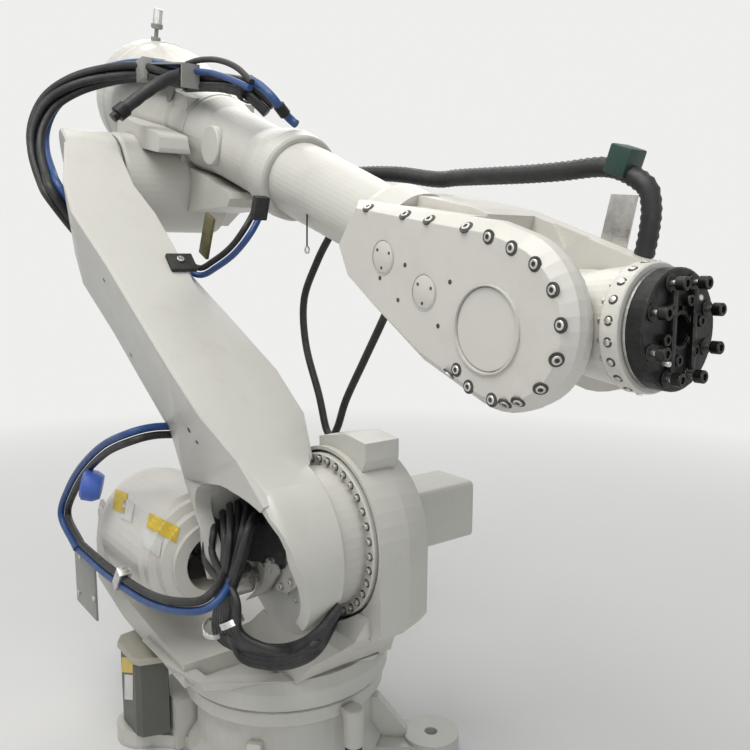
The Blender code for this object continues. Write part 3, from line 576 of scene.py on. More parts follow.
# outlines in the arm's own axes: (x, z) of the window's upper edge, (y, z) under the hub
WINDOW_TOP = [
    (-0.101, 0.030), (-0.097, 0.070), (-0.091, 0.104), (-0.086, 0.137), (-0.081, 0.160), (-0.070, 0.180),
    (-0.052, 0.193), (-0.030, 0.199), (-0.005, 0.198), (0.025, 0.190), (0.060, 0.173), (0.092, 0.150),
    (0.120, 0.124), (0.148, 0.090), (0.170, 0.058), (0.186, 0.028), (0.198, -0.004),
]
WINDOW_ROUND = HUB_RADIUS - 0.019
WINDOW_REAR_X = -0.300
WINDOW_REAR_TOP = 0.030
WINDOW_REAR_BOTTOM = -0.207
WINDOW_ARC_STARTS = -14
WINDOW_ARC_STEP = -4.3
WINDOW_ARC_POINTS = 21
HOLLOW_Y = -0.290
HOLLOW_FRONT_X = 0.010
HOLLOW_TOP = 0.130
WINDOW_OUTER_Y = -0.600
UNDERSIDE_REACH = 0.400
HUB_UNDERSIDE = [
    (-0.600, 0.110), (-0.342, 0.090), (-0.316, -0.015), (-0.288, -0.120), (-0.240, -0.205),
    (-0.205, -0.300), (-0.600, -0.300),
]
# one level of the arm a row: z, outer y, crease y, ridge y, inner y, front x, rear x, draft of the side
ARM_LEVELS = [
    (0.020, -0.322, -0.243, -0.170, -0.158, 0.217, -0.104, -0.03),
    (0.150, -0.344, -0.252, -0.136, -0.112, 0.216, -0.112, 0.02),
    (0.280, -0.388, -0.262, -0.134, -0.078, 0.209, -0.120, 0.18),
    (0.430, -0.416, -0.249, -0.164, -0.096, 0.200, -0.126, SIDE_DRAFT),
    (0.620, -0.446, -0.245, -0.214, -0.160, 0.189, -0.132, SIDE_DRAFT),
    (0.780, -0.470, -0.258, -0.240, -0.216, 0.180, -0.138, SIDE_DRAFT),
    (0.980, -0.508, -0.275, -0.262, -0.252, 0.168, -0.144, SIDE_DRAFT),
    (1.100, -0.500, -0.302, -0.298, ARM_TOP_INNER_Y - 0.002, 0.160, -0.148, SIDE_DRAFT),
    (LOWER_ARM_LENGTH, -0.452, -0.302, -0.298, ARM_TOP_INNER_Y - 0.002, 0.150, -0.149, SIDE_DRAFT),
]


def loft(rings):
    """A closed body through rings of equal count."""
    bm = bmesh.new()
    made = [[bm.verts.new(point) for point in points] for points in rings]
    for first, second in zip(made, made[1:]):
        bridge(bm, first, second)
    bm.faces.new(made[0])
    bm.faces.new(made[-1])
    tidy_normals(bm)
    return bm


def along_y(outline, start, end):
    return loft([[(x, y, z) for x, z in outline] for y in (start, end)])


def round_y(profile):
    turns = around(HUB_SIDES)
    return loft([[(radius * cos(t), y, radius * sin(t)) for t in turns] for radius, y in profile])


def arm_level(z, outer, crease, ridge, inner, front, rear, draft):
    rear_outer = outer + draft * (front - rear)
    return [
        (rear + 0.015, rear_outer - 0.005, z),
        (front - 0.006, outer, z),
        (front, outer + 0.006, z),
        (front, crease, z),
        (front - 0.028, ridge, z),
        (front - 0.052, inner, z),
        (rear + 0.02, inner - 0.02, z),
        (rear, inner - 0.04, z),
        (rear, rear_outer + 0.01, z),
    ]


def arm_barrel():
    rings = []
    for radius, y, slant in (
        (ARM_TOP_RADIUS - 0.007, ARM_TOP_OUTER_Y, SIDE_DRAFT),
        (ARM_TOP_RADIUS, ARM_TOP_OUTER_Y + 0.007, SIDE_DRAFT),
        (ARM_TOP_RADIUS, ARM_TOP_INNER_Y - 0.007, 0.0),
        (ARM_TOP_RADIUS - 0.007, ARM_TOP_INNER_Y, 0.0),
    ):
        circle = [(radius * cos(turn), radius * sin(turn)) for turn in around(HUB_SIDES)]
        rings.append([(x, y - slant * x, LOWER_ARM_LENGTH + z) for x, z in circle])
    return loft(rings)


def solid_step(body, tool, operation):
    """The first shape joined to the second, or cut by it."""
    objects = [add_mesh("step", bm) for bm in (body, tool)]
    step = objects[0].modifiers.new("step", "BOOLEAN")
    step.object = objects[1]
    step.operation = operation
    step.solver = "EXACT"
    made = bmesh.new()
    made.from_mesh(objects[0].evaluated_get(bpy.context.evaluated_depsgraph_get()).data)
    for obj in objects:
        bpy.data.objects.remove(obj)
    return made


def lower_arm_casting():
    """The arm's box section and its hub, open at the rear and through its outer window."""
    body = loft([arm_level(*level) for level in ARM_LEVELS])
    body = solid_step(body, arm_barrel(), "UNION")
    body = solid_step(body, round_y(HUB_RIM + [(HUB_RADIUS, HUB_BACK_Y)]), "UNION")
    turns = [radians(WINDOW_ARC_STARTS + WINDOW_ARC_STEP * i) for i in range(WINDOW_ARC_POINTS)]
    round_side = [(WINDOW_ROUND * cos(turn), WINDOW_ROUND * sin(turn)) for turn in turns]
    rear, front = WINDOW_REAR_X, HOLLOW_FRONT_X
    window = [(rear, WINDOW_REAR_TOP), *WINDOW_TOP, *round_side, (rear, WINDOW_REAR_BOTTOM)]
    hollow = HUB_RADIUS - HUB_WALL
    rear_mouth = [(rear, rear), (front, rear), (front, HOLLOW_TOP), (rear, HOLLOW_TOP)]
    for tool in (
        round_y([(hollow, HOLLOW_Y - 0.012), (hollow, HUB_FLOOR_Y)]),
        along_y(rear_mouth, HOLLOW_Y, HUB_FLOOR_Y),
        along_y(window, WINDOW_OUTER_Y, HOLLOW_Y - 0.004),
        loft([[(x, y, z) for y, z in HUB_UNDERSIDE] for x in (-UNDERSIDE_REACH, UNDERSIDE_REACH)]),
        round_y([(GEAR_ROOM_RADIUS, HUB_BACK_Y), (GEAR_ROOM_RADIUS, GEAR_ROOM_END_Y)]),
    ):
        body = solid_step(body, tool, "DIFFERENCE")
    bmesh.ops.transform(body, matrix=ARM, verts=body.verts)
    casting = piece("arm_casting", body, "lower_arm", "foundry_white", smooth=32)
    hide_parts("lower_arm_casting")
    SURFACES["arm_casting"] = casting
    bpy.context.view_layer.update()


def circle_x(x, radius, turn):
    """A point of a circle round the local X axis."""
    return Vector((x, radius * cos(turn), radius * sin(turn)))


def circle_y(y, radius, turn):
    return Vector((radius * cos(turn), y, radius * sin(turn)))


# Screws and covers of the wrist

OUTWARD = Vector((0.0, -1.0, 0.0))
COVER_Y = -0.174
COVER_SCREWS = [
    (-0.428, 0.08), (-0.308, 0.103), (-0.236, 0.116), (-0.133, 0.135), (-0.07, 0.138), (-0.012, 0.138),
    (0.046, 0.131), (0.097, 0.106), (0.133, 0.06), (0.146, 0.005), (0.132, -0.055), (0.095, -0.1),
    (0.069, -0.117), (0.041, -0.124), (-0.02, -0.129), (-0.06, -0.114), (-0.077, -0.131),
]


def cover_height(x, z):
    """(point, normal) of the cover at its local x and z, or of its plane where a ray misses it."""
    start = WRIST @ Vector((x, -0.5, z))
    along = WRIST.to_3x3() @ Vector((0.0, 1.0, 0.0))
    hit, place, normal, _ = NODES["wrist_side_cover"].ray_cast(start, along)
    return (place, normal) if hit else (WRIST @ Vector((x, COVER_Y, z)), -along)


def wrist_screws():
    screws, bore_shades = bmesh.new(), bmesh.new()
    for x, z in COVER_SCREWS:
        sunk_screw(screws, bore_shades, toward(*cover_height(x, z)), 0.0085)
    add_screws("wrist_cover_screws", screws, "wrist")
    # the dark discs under the cover screws are painted shade for their counterbores
    piece("wrist_cover_bore_shades", bore_shades, "wrist", "cover_white", BORE_SHADE)


PLUGS = [(383, 257), (424, 292)]
PLUG_RADIUS = 0.036
PLUG_DISC = [(PLUG_RADIUS * 0.9, -0.001), (PLUG_RADIUS * 0.9, 0.0008), (PLUG_RADIUS * 0.87, 0.0014)]
COVER_HOLES = [(450, 282), (438, 326), (418, 301), (429, 286), (380, 278), (405, 265), (398, 300)]


def cover_place(px, py):
    """A matrix on the cover where the photograph shows a pixel."""
    at = WRIST.inverted() @ seen(px, py, COVER_Y, WRIST)
    return toward(*cover_height(at.x, at.z))


def round_plugs():
    """Round plugs beside the round plate, each with three pins, and the small holes; the pins and the holes
    are dark discs of painted shade.
    """
    discs, hole_shades = bmesh.new(), bmesh.new()
    for px, py in PLUGS:
        place = cover_place(px, py)
        rim = place @ Matrix.Translation((0, 0, 0.0004))
        band(discs, rim, PLUG_RADIUS * 0.93, PLUG_RADIUS, 0.0016, 40)
        turn_on(discs, place, PLUG_DISC, 40)
        for turn in (radians(20), radians(140), radians(260)):
            reach = PLUG_RADIUS * 0.62
            spot = place @ Matrix.Translation((reach * cos(turn), reach * sin(turn), 0.0014))
            turn_on(hole_shades, spot, [(0.0034, -0.001), (0.0034, 0.0004)], 14)
    for px, py in COVER_HOLES:
        turn_on(hole_shades, cover_place(px, py), [(0.0046, -0.001), (0.0046, 0.0006)], 16)
    piece("wrist_round_plugs", discs, "wrist", "cover_white")
    piece("wrist_plug_pin_shades", hole_shades, "wrist", "cover_white", BORE_SHADE)


PLATE_X = -0.017
PLATE_Z = -0.014
PLATE_RADIUS = 0.0765


def round_plate_rim():
    """The thin step around the bare round plate."""
    bm = bmesh.new()
    middle = WRIST @ Vector((PLATE_X, COVER_Y - 0.0002, PLATE_Z))
    band(bm, toward(middle, WRIST.to_3x3() @ OUTWARD), PLATE_RADIUS, PLATE_RADIUS + 0.004, 0.008, 72)
    piece("round_plate_rim", bm, "wrist", "cover_white")


# Nose ring and tool adapter

NOSE_SCREWS = 20
NOSE_SCREW_CIRCLE = 0.1005
NOSE_SCREW_X = 0.1715
NOTCH_CIRCLE = 0.1108
NOTCH_X = 0.1885
ADAPTER_FACE = 0.2465
OUTER_SCREWS = 8
OUTER_CIRCLE = 0.083
INNER_SCREWS = 6
INNER_CIRCLE = 0.05
INNER_TURN = 0.26
PIN_CIRCLE = 0.066
SLOT_BAR_Y = 0.029


def nose_screws():
    """Screws in scalloped pockets behind the tilting head's ring; the pockets are dark discs, painted
    shade.
    """
    screws, bore_shades = bmesh.new(), bmesh.new()
    back = TOOL.to_3x3() @ Vector((-1, 0, 0))
    for turn in around(NOSE_SCREWS, 0.5):
        place = toward(TOOL @ circle_x(NOSE_SCREW_X, NOSE_SCREW_CIRCLE, turn), back)
        turn_on(bore_shades, place, [(0.01, -0.002), (0.01, 0.0006)], 20)
        cap_screw(screws, place, 0.0068, 0.0085, 16)
        out = TOOL.to_3x3() @ circle_x(0.0, 1.0, turn)
        notch = toward(TOOL @ circle_x(NOTCH_X, NOTCH_CIRCLE, turn), out)
        turn_on(bore_shades, notch, [(0.0086, -0.004), (0.0086, 0.0006)], 18)
        turn_on(screws, notch, [(0.0056, -0.002), (0.0056, 0.003), (0.0046, 0.0036)], 16)
    add_screws("nose_ring_screws", screws, "tilt")
    piece("nose_ring_pocket_shades", bore_shades, "tilt", "cover_white", BORE_SHADE)


def adapter_screws():
    """Cap screws in two rings on the black adapter, its pins and its slot bars."""
    screws, steel = bmesh.new(), bmesh.new()
    ahead = TOOL.to_3x3() @ Vector((1, 0, 0))
    for turn in around(OUTER_SCREWS, 0.5):
        place = toward(TOOL @ circle_x(ADAPTER_FACE, OUTER_CIRCLE, turn), ahead)
        turn_on(steel, place, [(0.0055, -0.004), (0.0055, 0.016)], 14)
        turn_on(screws, place, [(0.015, -0.002), (0.015, 0.002), (0.014, 0.0028)], 24)
        cap_screw(screws, place @ Matrix.Translation((0, 0, 0.014)), 0.0112, 0.016, 22)
    for turn in around(INNER_SCREWS):
        place = toward(TOOL @ circle_x(ADAPTER_FACE, INNER_CIRCLE, turn + INNER_TURN), ahead)
        cap_screw(screws, place, 0.0098, 0.0115, 20)
    for turn in (0.9, pi + 0.9):
        pin = toward(TOOL @ circle_x(ADAPTER_FACE, PIN_CIRCLE, turn), ahead)
        turn_on(steel, pin, [(0.0052, -0.003), (0.0052, 0.01), (0.0042, 0.0115)], 16)
    hub = toward(TOOL @ Vector((ADAPTER_FACE, 0, 0)), ahead)
    band(screws, hub, 0.0262, 0.0325, 0.006, 40)
    for side in (-1, 1):
        bar = TOOL @ Matrix.Translation((ADAPTER_FACE + 0.004, side * SLOT_BAR_Y, 0.0))
        box_on(screws, bar, (-0.006, -0.0055, -0.066), (0.006, 0.0055, 0.066), 0.0015)
    tidy_normals(screws)
    piece("adapter_screws", screws, "tool", "black_oxide", DARK_SCREW)
    piece("adapter_pins", steel, "tool", "steel", SCREW)


# Gearbox ring, hub and lower arm

GEAR_SCREWS = 34
GEAR_SCREW_CIRCLE = 0.2005
GEAR_FLANGE_Y = -0.064
HUB_SCREWS = 12
HUB_SCREW_CIRCLE = 0.101
HUB_FLANGE_Y = -0.2083


def gear_screws():
    screws, bore_shades = bmesh.new(), bmesh.new()
    for turn in around(GEAR_SCREWS):
        place = toward(SHOULDER + circle_y(GEAR_FLANGE_Y, GEAR_SCREW_CIRCLE, turn), OUTWARD)
        turn_on(bore_shades, place, [(0.0105, -0.002), (0.0105, 0.0008)], 20)
        cap_screw(screws, place, 0.0078, 0.009, 18)
    add_screws("gear_ring_screws", screws, "frame")
    # the dark discs under the screws are painted shade for their counterbores
    piece("gear_ring_bore_shades", bore_shades, "frame", "foundry_white", BORE_SHADE)


def hub_screws():
    screws = bmesh.new()
    for turn in around(HUB_SCREWS, 0.5):
        spot = SHOULDER + circle_y(HUB_FLANGE_Y, HUB_SCREW_CIRCLE, turn)
        cap_screw(screws, toward(spot, OUTWARD), 0.0085, 0.0095, 18)
    add_screws("hub_flange_screws", screws, "lower_arm")


def struck(target, px, py):
    """(point, normal) where the camera's ray through a pixel meets an object, or None."""
    back = target.matrix_world.inverted()
    along = back.to_3x3() @ pixel_ray(px, py).normalized()
    hit, place, normal, _ = target.ray_cast(back @ CAMERA_PLACE, along)
    return (target.matrix_world @ place, target.matrix_world.to_3x3() @ normal) if hit else None


def on_surface(px, py, name="arm_casting"):
    """(point, normal) of a piece's surface that the photograph shows at a pixel, or None beside it."""
    return struck(SURFACES.get(name) or NODES[name], px, py)


def first_surface(px, py, lift=0.0):
    """The nearest point of the robot that the photograph shows at a pixel, hoses left aside."""
    shown = [node for node in NODES.values() if not node.hide_render] + list(SURFACES.values())
    found = [hit for hit in (struck(node, px, py) for node in shown) if hit]
    point, normal = min(found, key=lambda hit: (hit[0] - CAMERA_PLACE).length)
    return point + normal * lift


def decal(name, corners, node, body, slot, material, lift=0.0022, steps=16):
    """A thin patch on a surface inside four photograph corners, in order round it."""
    bm = bmesh.new()
    a, b, c, d = [Vector(corner) for corner in corners]
    grid = {}
    for i in range(steps + 1):
        for j in range(steps + 1):
            u, v = i / steps, j / steps
            spot = a * (1 - u) * (1 - v) + b * u * (1 - v) + c * u * v + d * (1 - u) * v
            found = on_surface(spot.x, spot.y, node)
            if found:
                grid[i, j] = bm.verts.new(found[0] + found[1] * lift)
    for i in range(steps):
        for j in range(steps):
            near = [grid.get(key) for key in ((i, j), (i + 1, j), (i + 1, j + 1), (i, j + 1))]
            if None not in near:
                bm.faces.new(near)
    piece(name, bm, body, slot, material)


# (pixel x, pixel y, radius)
ARM_SIDE_HOLES = [
    (104, 280, 0.006), (131, 355, 0.006), (189, 430, 0.0075), (197, 442, 0.0055), (72, 226, 0.007),
]


def arm_holes():
    bore_shades, rims = bmesh.new(), bmesh.new()
    for px, py, radius in ARM_SIDE_HOLES:
        place = toward(*on_surface(px, py))
        # each hole is a dark disc, painted shade, inside a pale rim
        turn_on(bore_shades, place, [(radius, -0.002), (radius, 0.0005)], 20)
        band(rims, place, radius, radius * 1.18, 0.0012, 24)
    piece("arm_side_bore_shades", bore_shades, "lower_arm", "foundry_white", BORE_SHADE)
    piece("arm_side_rims", rims, "lower_arm", "foundry_white")


CLAMP_PLATE = (181, 264)
ARM_FRONT_FACE = (160, 264)
CLAMP_PLATE_LOW = (-0.037, -0.03, -0.001)
CLAMP_PLATE_HIGH = (0.037, 0.03, 0.012)


def clamp_plate():
    """The black square plate with one screw on the lower arm's front face."""
    normal = on_surface(*ARM_FRONT_FACE)[1]
    up_arm = ARM.to_3x3() @ Vector((0, 0, 1))
    side = normal.cross(up_arm).normalized()
    up = side.cross(normal).normalized()
    place = axes_at(side, up, normal, on_surface(*CLAMP_PLATE)[0])
    bm = bmesh.new()
    box_on(bm, place, CLAMP_PLATE_LOW, CLAMP_PLATE_HIGH, 0.003)
    piece("arm_clamp_plate", bm, "lower_arm", "black_rubber")
    bm = bmesh.new()
    cap_screw(bm, place @ Matrix.Translation((0.004, 0.004, CLAMP_PLATE_HIGH[2])), 0.0105, 0.0065)
    add_screws("arm_clamp_screw", bm, "lower_arm")


# Hoses and their fittings. A spot is (pixel x, pixel y, plane y), and a route is a list of them.

BLOCK_BEVEL = 0.003


def route(spots):
    return [seen(*spot) for spot in spots]


def bundle(name, points, radius, lanes, bodies, twist=0.0):
    """Hoses side by side: each lane is (across, depth, material)."""
    for i, (across, depth, material) in enumerate(lanes):
        hose(f"{name}_{i + 1}", points, radius, material, bodies, offset=(across, depth, twist))


# middle spot, size, body, slot, another finish, degrees turned round y
BLOCKS = {
    "rear_loop_clamp": ((151, 71, -0.15), (0.06, 0.076, 0.066), "upper_arm", "bracket_grey", None, -4),
    "ring_hose_plate": ((86, 577, -0.44), (0.195, 0.008, 0.225), "frame", "bracket_grey", None, 0),
    "ring_hose_strap": ((122, 578, -0.462), (0.03, 0.036, 0.075), "frame", "steel", SCREW, 38),
    "elbow_cable_clamp": ((260, 208, -0.15), (0.022, 0.04, 0.06), "upper_arm", "black_rubber", None, 20),
    "olive_bracket": ((207, 236, -0.19), (0.05, 0.01, 0.12), "upper_arm", "bracket_grey", OLIVE, 25),
}


def block(name):
    spot, size, body, slot, material, turn = BLOCKS[name]
    bm = bmesh.new()
    half = [value / 2 for value in size]
    box_on(bm, turned_y(seen(*spot), radians(turn)), [-value for value in half], half, BLOCK_BEVEL)
    piece(name, bm, body, slot, material)


def clamp_ring(name, spot, direction, inner, width, body, slot, material=None, thick=0.004):
    bm = bmesh.new()
    band(bm, toward(seen(*spot), direction), inner, inner + thick, width, 28)
    piece(name, bm, body, slot, material)


REAR_LOOP = [
    (190, 78, -0.11), (165, 73, -0.14), (138, 70, -0.17), (105, 75, -0.24), (75, 85, -0.32),
    (51, 102, -0.385), (39, 126, -0.425), (38, 150, -0.44), (46, 176, -0.44), (57, 196, -0.43),
]
REAR_LOOP_END = [(-0.19, -0.32, 1.22), (-0.165, -0.27, 1.19)]
REAR_HOSE_RADIUS = 0.0132
REAR_BUNDLE = (BLUE_HOSE, BLACK_HOSE, BLACK_HOSE, BLACK_HOSE, BLUE_HOSE)
REAR_BUNDLE_RADIUS = 0.0235
REAR_BUNDLE_TWIST = 3.6
SHORT_HOSE = [(184, 73, -0.15), (160, 83, -0.19), (138, 98, -0.25), (118, 114, -0.31)]
SHORT_HOSE_RADIUS = 0.02
SHORT_HOSE_GLAND = [(0.0235, -0.03), (0.0235, 0.002), (0.014, 0.004), (0.014, 0.02)]


def rear_bundle():
    """Five twisted hoses that loop from the bracket to the lower arm's rear, and a short one."""
    points = route(REAR_LOOP) + [ARM @ Vector(p) for p in REAR_LOOP_END]
    lanes = []
    for turn, material in zip(around(len(REAR_BUNDLE), 0.4), REAR_BUNDLE):
        lanes.append((REAR_BUNDLE_RADIUS * cos(turn), REAR_BUNDLE_RADIUS * sin(turn), material))
    bodies, span = ("upper_arm", "lower_arm"), (points[2], points[-2])
    bundle("rear_loop_hose", points, REAR_HOSE_RADIUS, lanes, bodies, REAR_BUNDLE_TWIST)
    block("rear_loop_clamp")
    short = route(SHORT_HOSE)
    hose("short_hose", short, SHORT_HOSE_RADIUS, BLACK_HOSE, bodies, 0.002)
    bm = bmesh.new()
    turn_on(bm, toward(short[-1], short[-1] - short[-2]), SHORT_HOSE_GLAND, 20)
    piece("short_hose_gland", bm, "lower_arm", "black_oxide")


RING_START = (-0.128, -0.3, 0.435)
RING_UPPER = [
    (153, 433, -0.37), (130, 439, -0.43), (106, 450, -0.455), (86, 469, -0.462), (73, 490, -0.462),
    (66, 515, -0.462), (80, 545, -0.462),
]
RING_LOWER = [
    (80, 545, -0.462), (110, 571, -0.462), (150, 597, -0.458), (188, 605, -0.435), (212, 597, -0.4),
    (228, 570, -0.33), (232, 535, -0.29),
]
RING_HOSE_RADIUS = 0.0105
RING_PLATE_FACE_Y = -0.444
RING_PLATE_SCREWS = [(81, 556), (95, 560), (80, 592), (95, 598)]
BALANCER_PLUG = (95, 486, -0.452)
BALANCER_PLUG_DIRECTION = (-0.4, -0.8, 0.2)
BALANCER_PLUG_PROFILE = [(0.036, -0.02), (0.046, 0.0), (0.046, 0.03), (0.036, 0.038)]


def ring_hoses():
    """The blue and black hoses in front of the balancer, with their plate and strap."""
    upper = [ARM @ Vector(RING_START)] + route(RING_UPPER)
    lower = route(RING_LOWER)
    lanes = [(0.016, 0.0, BLUE_HOSE), (-0.007, 0.0, BLACK_HOSE)]
    bundle("ring_hose_upper", upper, RING_HOSE_RADIUS, lanes, ("lower_arm", "frame"))
    bundle("ring_hose_lower", lower, RING_HOSE_RADIUS, lanes, ("frame", "lower_arm"))
    block("ring_hose_plate")
    bm = bmesh.new()
    for px, py in RING_PLATE_SCREWS:
        cap_screw(bm, toward(seen(px, py, RING_PLATE_FACE_Y), OUTWARD), 0.009, 0.007)
    add_screws("ring_hose_plate_screws", bm, "frame")
    block("ring_hose_strap")
    bm = bmesh.new()
    turn_on(bm, toward(seen(*BALANCER_PLUG), BALANCER_PLUG_DIRECTION), BALANCER_PLUG_PROFILE, 32)
    piece("balancer_plug", bm, "frame", "bracket_grey", PALE_BLUE)


# the hub cables' first and middle pixels, then spots that step along x from cable to cable
CABLE_STARTS = [
    (212, 497), (220, 496), (229, 497), (238, 500), (248, 505), (256, 513), (262, 522), (208, 520),
    (211, 506),
]
CABLE_MIDDLES = [
    (220, 555), (224, 558), (228, 560), (232, 558), (235, 562), (238, 566), (240, 570), (206, 562),
    (213, 556),
]
CABLE_ENDS = [
    (2.2, (218, 598, -0.35)), (3, (216, 632, -0.335)), (4, (236, 648, -0.3)), (4, (262, 650, -0.24)),
]
CABLE_START_Y = -0.212
CABLE_MIDDLE_Y = -0.262
CABLE_BEND_PY = 527
CABLE_RADIUS = 0.0095
POCKET_START = (219, 632, -0.335)
POCKET_RUN = [(242, 640, -0.3), (268, 648, -0.27), (294, 646, -0.24), (318, 632, -0.215)]
POCKET_END = (339, 604)
POCKET_CABLES = 5
POCKET_STEP = 4.4
POCKET_RADIUS = 0.0115
HUB_CLAMPS = [(214, 628, -0.5), (232, 622, 0.5)]
HUB_CLAMP_Y = -0.345


def hub_cables():
    """Black cables that fill the hub's hollow and go down into the turret's pocket."""
    for i, (first, middle) in enumerate(zip(CABLE_STARTS, CABLE_MIDDLES)):
        depth = CABLE_MIDDLE_Y - 0.012 * (i % 3)
        bend = ((first[0] + middle[0]) / 2 + 2, CABLE_BEND_PY, depth - 0.02)
        points = route([(*first, CABLE_START_Y), bend, (*middle, depth - 0.045)])
        points += route([(px + step * i, py, y) for step, (px, py, y) in CABLE_ENDS])
        hose(f"hub_cable_{i + 1}", points, CABLE_RADIUS, BLACK_HOSE, ("lower_arm", "frame"))
    for i in range(POCKET_CABLES):
        lower = POCKET_STEP * i
        start = (POCKET_START[0] + 3 * i, *POCKET_START[1:])
        points = route([start] + [(px, py + lower, y) for px, py, y in POCKET_RUN])
        points.append(first_surface(POCKET_END[0] - i, POCKET_END[1] + lower, 0.004))
        hose(f"pocket_cable_{i + 1}", points, POCKET_RADIUS, BLACK_HOSE, ("frame",))
    for px, py, tilt in HUB_CLAMPS:
        spot = (px, py, HUB_CLAMP_Y)
        clamp_ring(f"hub_clamp_{px}", spot, (tilt, 0.2, -1.0), 0.026, 0.016, "frame", "steel", CHROME)


LUG = [(263, 554), (274, 557), (279, 573), (266, 593), (244, 601), (261, 583), (265, 570)]
LUG_Y = -0.2205
LUG_DEPTH = 0.008
LUG_SCREWS = [(268, 561), (270, 570)]
BOWL_SCREWS = [(288, 593), (296, 600)]
INSIDE_SCREW_RADIUS = 0.0068
# a dark sheet of painted shade over the upper part of the hub's hollow
SHADE_SHEET_RADIUS = 0.188
SHADE_SHEET_Y = -0.2185
SHADE_SHEET_THICKNESS = 0.002
SHADE_SHEET_CORNER = (0.02, -0.06)


def hub_inside():
    """A dark sheet behind the cables, painted shade in the hub's hollow, then the cast lug and the screws
    in the hub.
    """
    turns = [radians(turn) for turn in range(25, 166, 7)]
    outline = [(SHADE_SHEET_RADIUS * cos(turn), SHADE_SHEET_RADIUS * sin(turn)) for turn in turns] + [SHADE_SHEET_CORNER]
    shade_sheet = along_y(outline, SHADE_SHEET_Y - SHADE_SHEET_THICKNESS, SHADE_SHEET_Y)
    bmesh.ops.transform(shade_sheet, matrix=ARM, verts=shade_sheet.verts)
    piece("hub_shade_sheet", shade_sheet, "lower_arm", "black_rubber")
    front = route([(px, py, LUG_Y) for px, py in LUG])
    lug = loft([[point + Vector((0.0, depth, 0.0)) for point in front] for depth in (0.0, LUG_DEPTH)])
    bmesh.ops.bevel(lug, geom=lug.edges[:], offset=0.003, segments=2, affect="EDGES")
    piece("hub_lug", lug, "lower_arm", "foundry_white")
    bm = bmesh.new()
    for px, py in LUG_SCREWS:
        cap_screw(bm, toward(seen(px, py, LUG_Y), OUTWARD), INSIDE_SCREW_RADIUS, 0.003)
    for px, py in BOWL_SCREWS:
        cap_screw(bm, toward(*on_surface(px, py)), INSIDE_SCREW_RADIUS, 0.006)
    add_screws("hub_lug_screws", bm, "lower_arm")


LINE_RADIUS = 0.0085
ARC_LINE = [(187, 64, -0.12), (200, 60, -0.12), (218, 60, -0.12), (236, 67, -0.12), (252, 82, -0.12)]
BLUE_LINE = [(196, 71, -0.125), (212, 73, -0.125), (230, 79, -0.125), (250, 88, -0.125)]
THICK_LINE = [
    (188, 84, -0.1), (206, 83, -0.1), (226, 84, -0.1), (246, 89, -0.09), (260, 100, -0.07),
    (270, 110, -0.05),
]
THICK_RADIUS = 0.014
THICK_STRAP = (248, 90, -0.09)
NECK_LINE = [
    (250, 79, -0.11), (262, 87, -0.1), (273, 98, -0.09), (282, 110, -0.06), (290, 119, -0.03),
    (296, 124, -0.02),
]
NECK_RADIUS = 0.0115
NECK_CLAMP = (282, 110, -0.06)
ELBOW_START = (184, 264)
ELBOW_LINE = [(200, 271, -0.19), (214, 264, -0.18), (232, 250, -0.17), (248, 229, -0.16)]
ELBOW_END = (261, 204)


def bracket_lines():
    """Lines beside the hose bracket, the clamp on the neck and the olive bracket below it."""
    hose("bracket_arc_hose", route(ARC_LINE), LINE_RADIUS, BLACK_HOSE, ("upper_arm",))
    hose("bracket_blue_hose", route(BLUE_LINE), LINE_RADIUS, BLUE_HOSE, ("upper_arm",))
    thick = route(THICK_LINE)
    lanes = [(0.012, 0.0, BLACK_HOSE), (-0.016, 0.0, BLACK_HOSE)]
    bundle("bracket_thick_hose", thick, THICK_RADIUS, lanes, ("upper_arm",))
    clamp_ring("bracket_strap", THICK_STRAP, thick[4] - thick[2], 0.03, 0.022, "upper_arm", "black_rubber")
    neck = route(NECK_LINE)
    hose("neck_blue_hose", neck, NECK_RADIUS, BLUE_HOSE, ("upper_arm",))
    along = neck[3] - neck[2]
    clamp_ring("neck_hose_clamp", NECK_CLAMP, along, NECK_RADIUS, 0.03, "upper_arm", "black_oxide")
    elbow = [on_surface(*ELBOW_START)[0], *route(ELBOW_LINE), first_surface(*ELBOW_END)]
    lanes = [(0.012, 0.0, BLUE_HOSE), (-0.008, 0.0, BLACK_HOSE)]
    bundle("elbow_cable", elbow, LINE_RADIUS, lanes, ("lower_arm", "upper_arm"))
    block("elbow_cable_clamp")
    block("olive_bracket")


TUBE_HOSE_Y = 0.15
TUBE_HOSE_START = [(-0.91, 0.1, 0.03), (-0.83, 0.114, 0.058), (-0.72, 0.132, 0.088)]
TUBE_HOSE_RUN = [
    (0.504, 1.687), (0.582, 1.686), (0.772, 1.679), (0.883, 1.677), (1.007, 1.676), (1.086, 1.64),
    (1.104, 1.602), (1.103, 1.555), (1.094, 1.505),
]
TUBE_HOSE_RADIUS = 0.0205
TUBE_CLAMP = (-0.085, TUBE_HOSE_Y, 0.29)
TUBE_CLAMP_LOW = (-0.025, -0.026, -0.03)
TUBE_CLAMP_HIGH = (0.025, 0.026, 0.026)
HANGING_LOOP = [
    (338, 222, 0.06), (330, 236, 0.06), (317, 262, 0.06), (304, 300, 0.06), (306, 345, 0.06),
    (319, 395, 0.06), (326, 428, 0.06), (332, 436, 0.06), (338, 426, 0.06), (346, 400, 0.06),
    (362, 365, 0.06), (383, 320, 0.06), (398, 286, 0.055), (408, 268, 0.045),
]
HANGING_RADIUS = 0.0105
LANYARD_TOP = (307, 214)
LANYARD = [(307, 232), (307, 247)]
LANYARD_EYE = (307, 250)
LANYARD_RADIUS = 0.0022


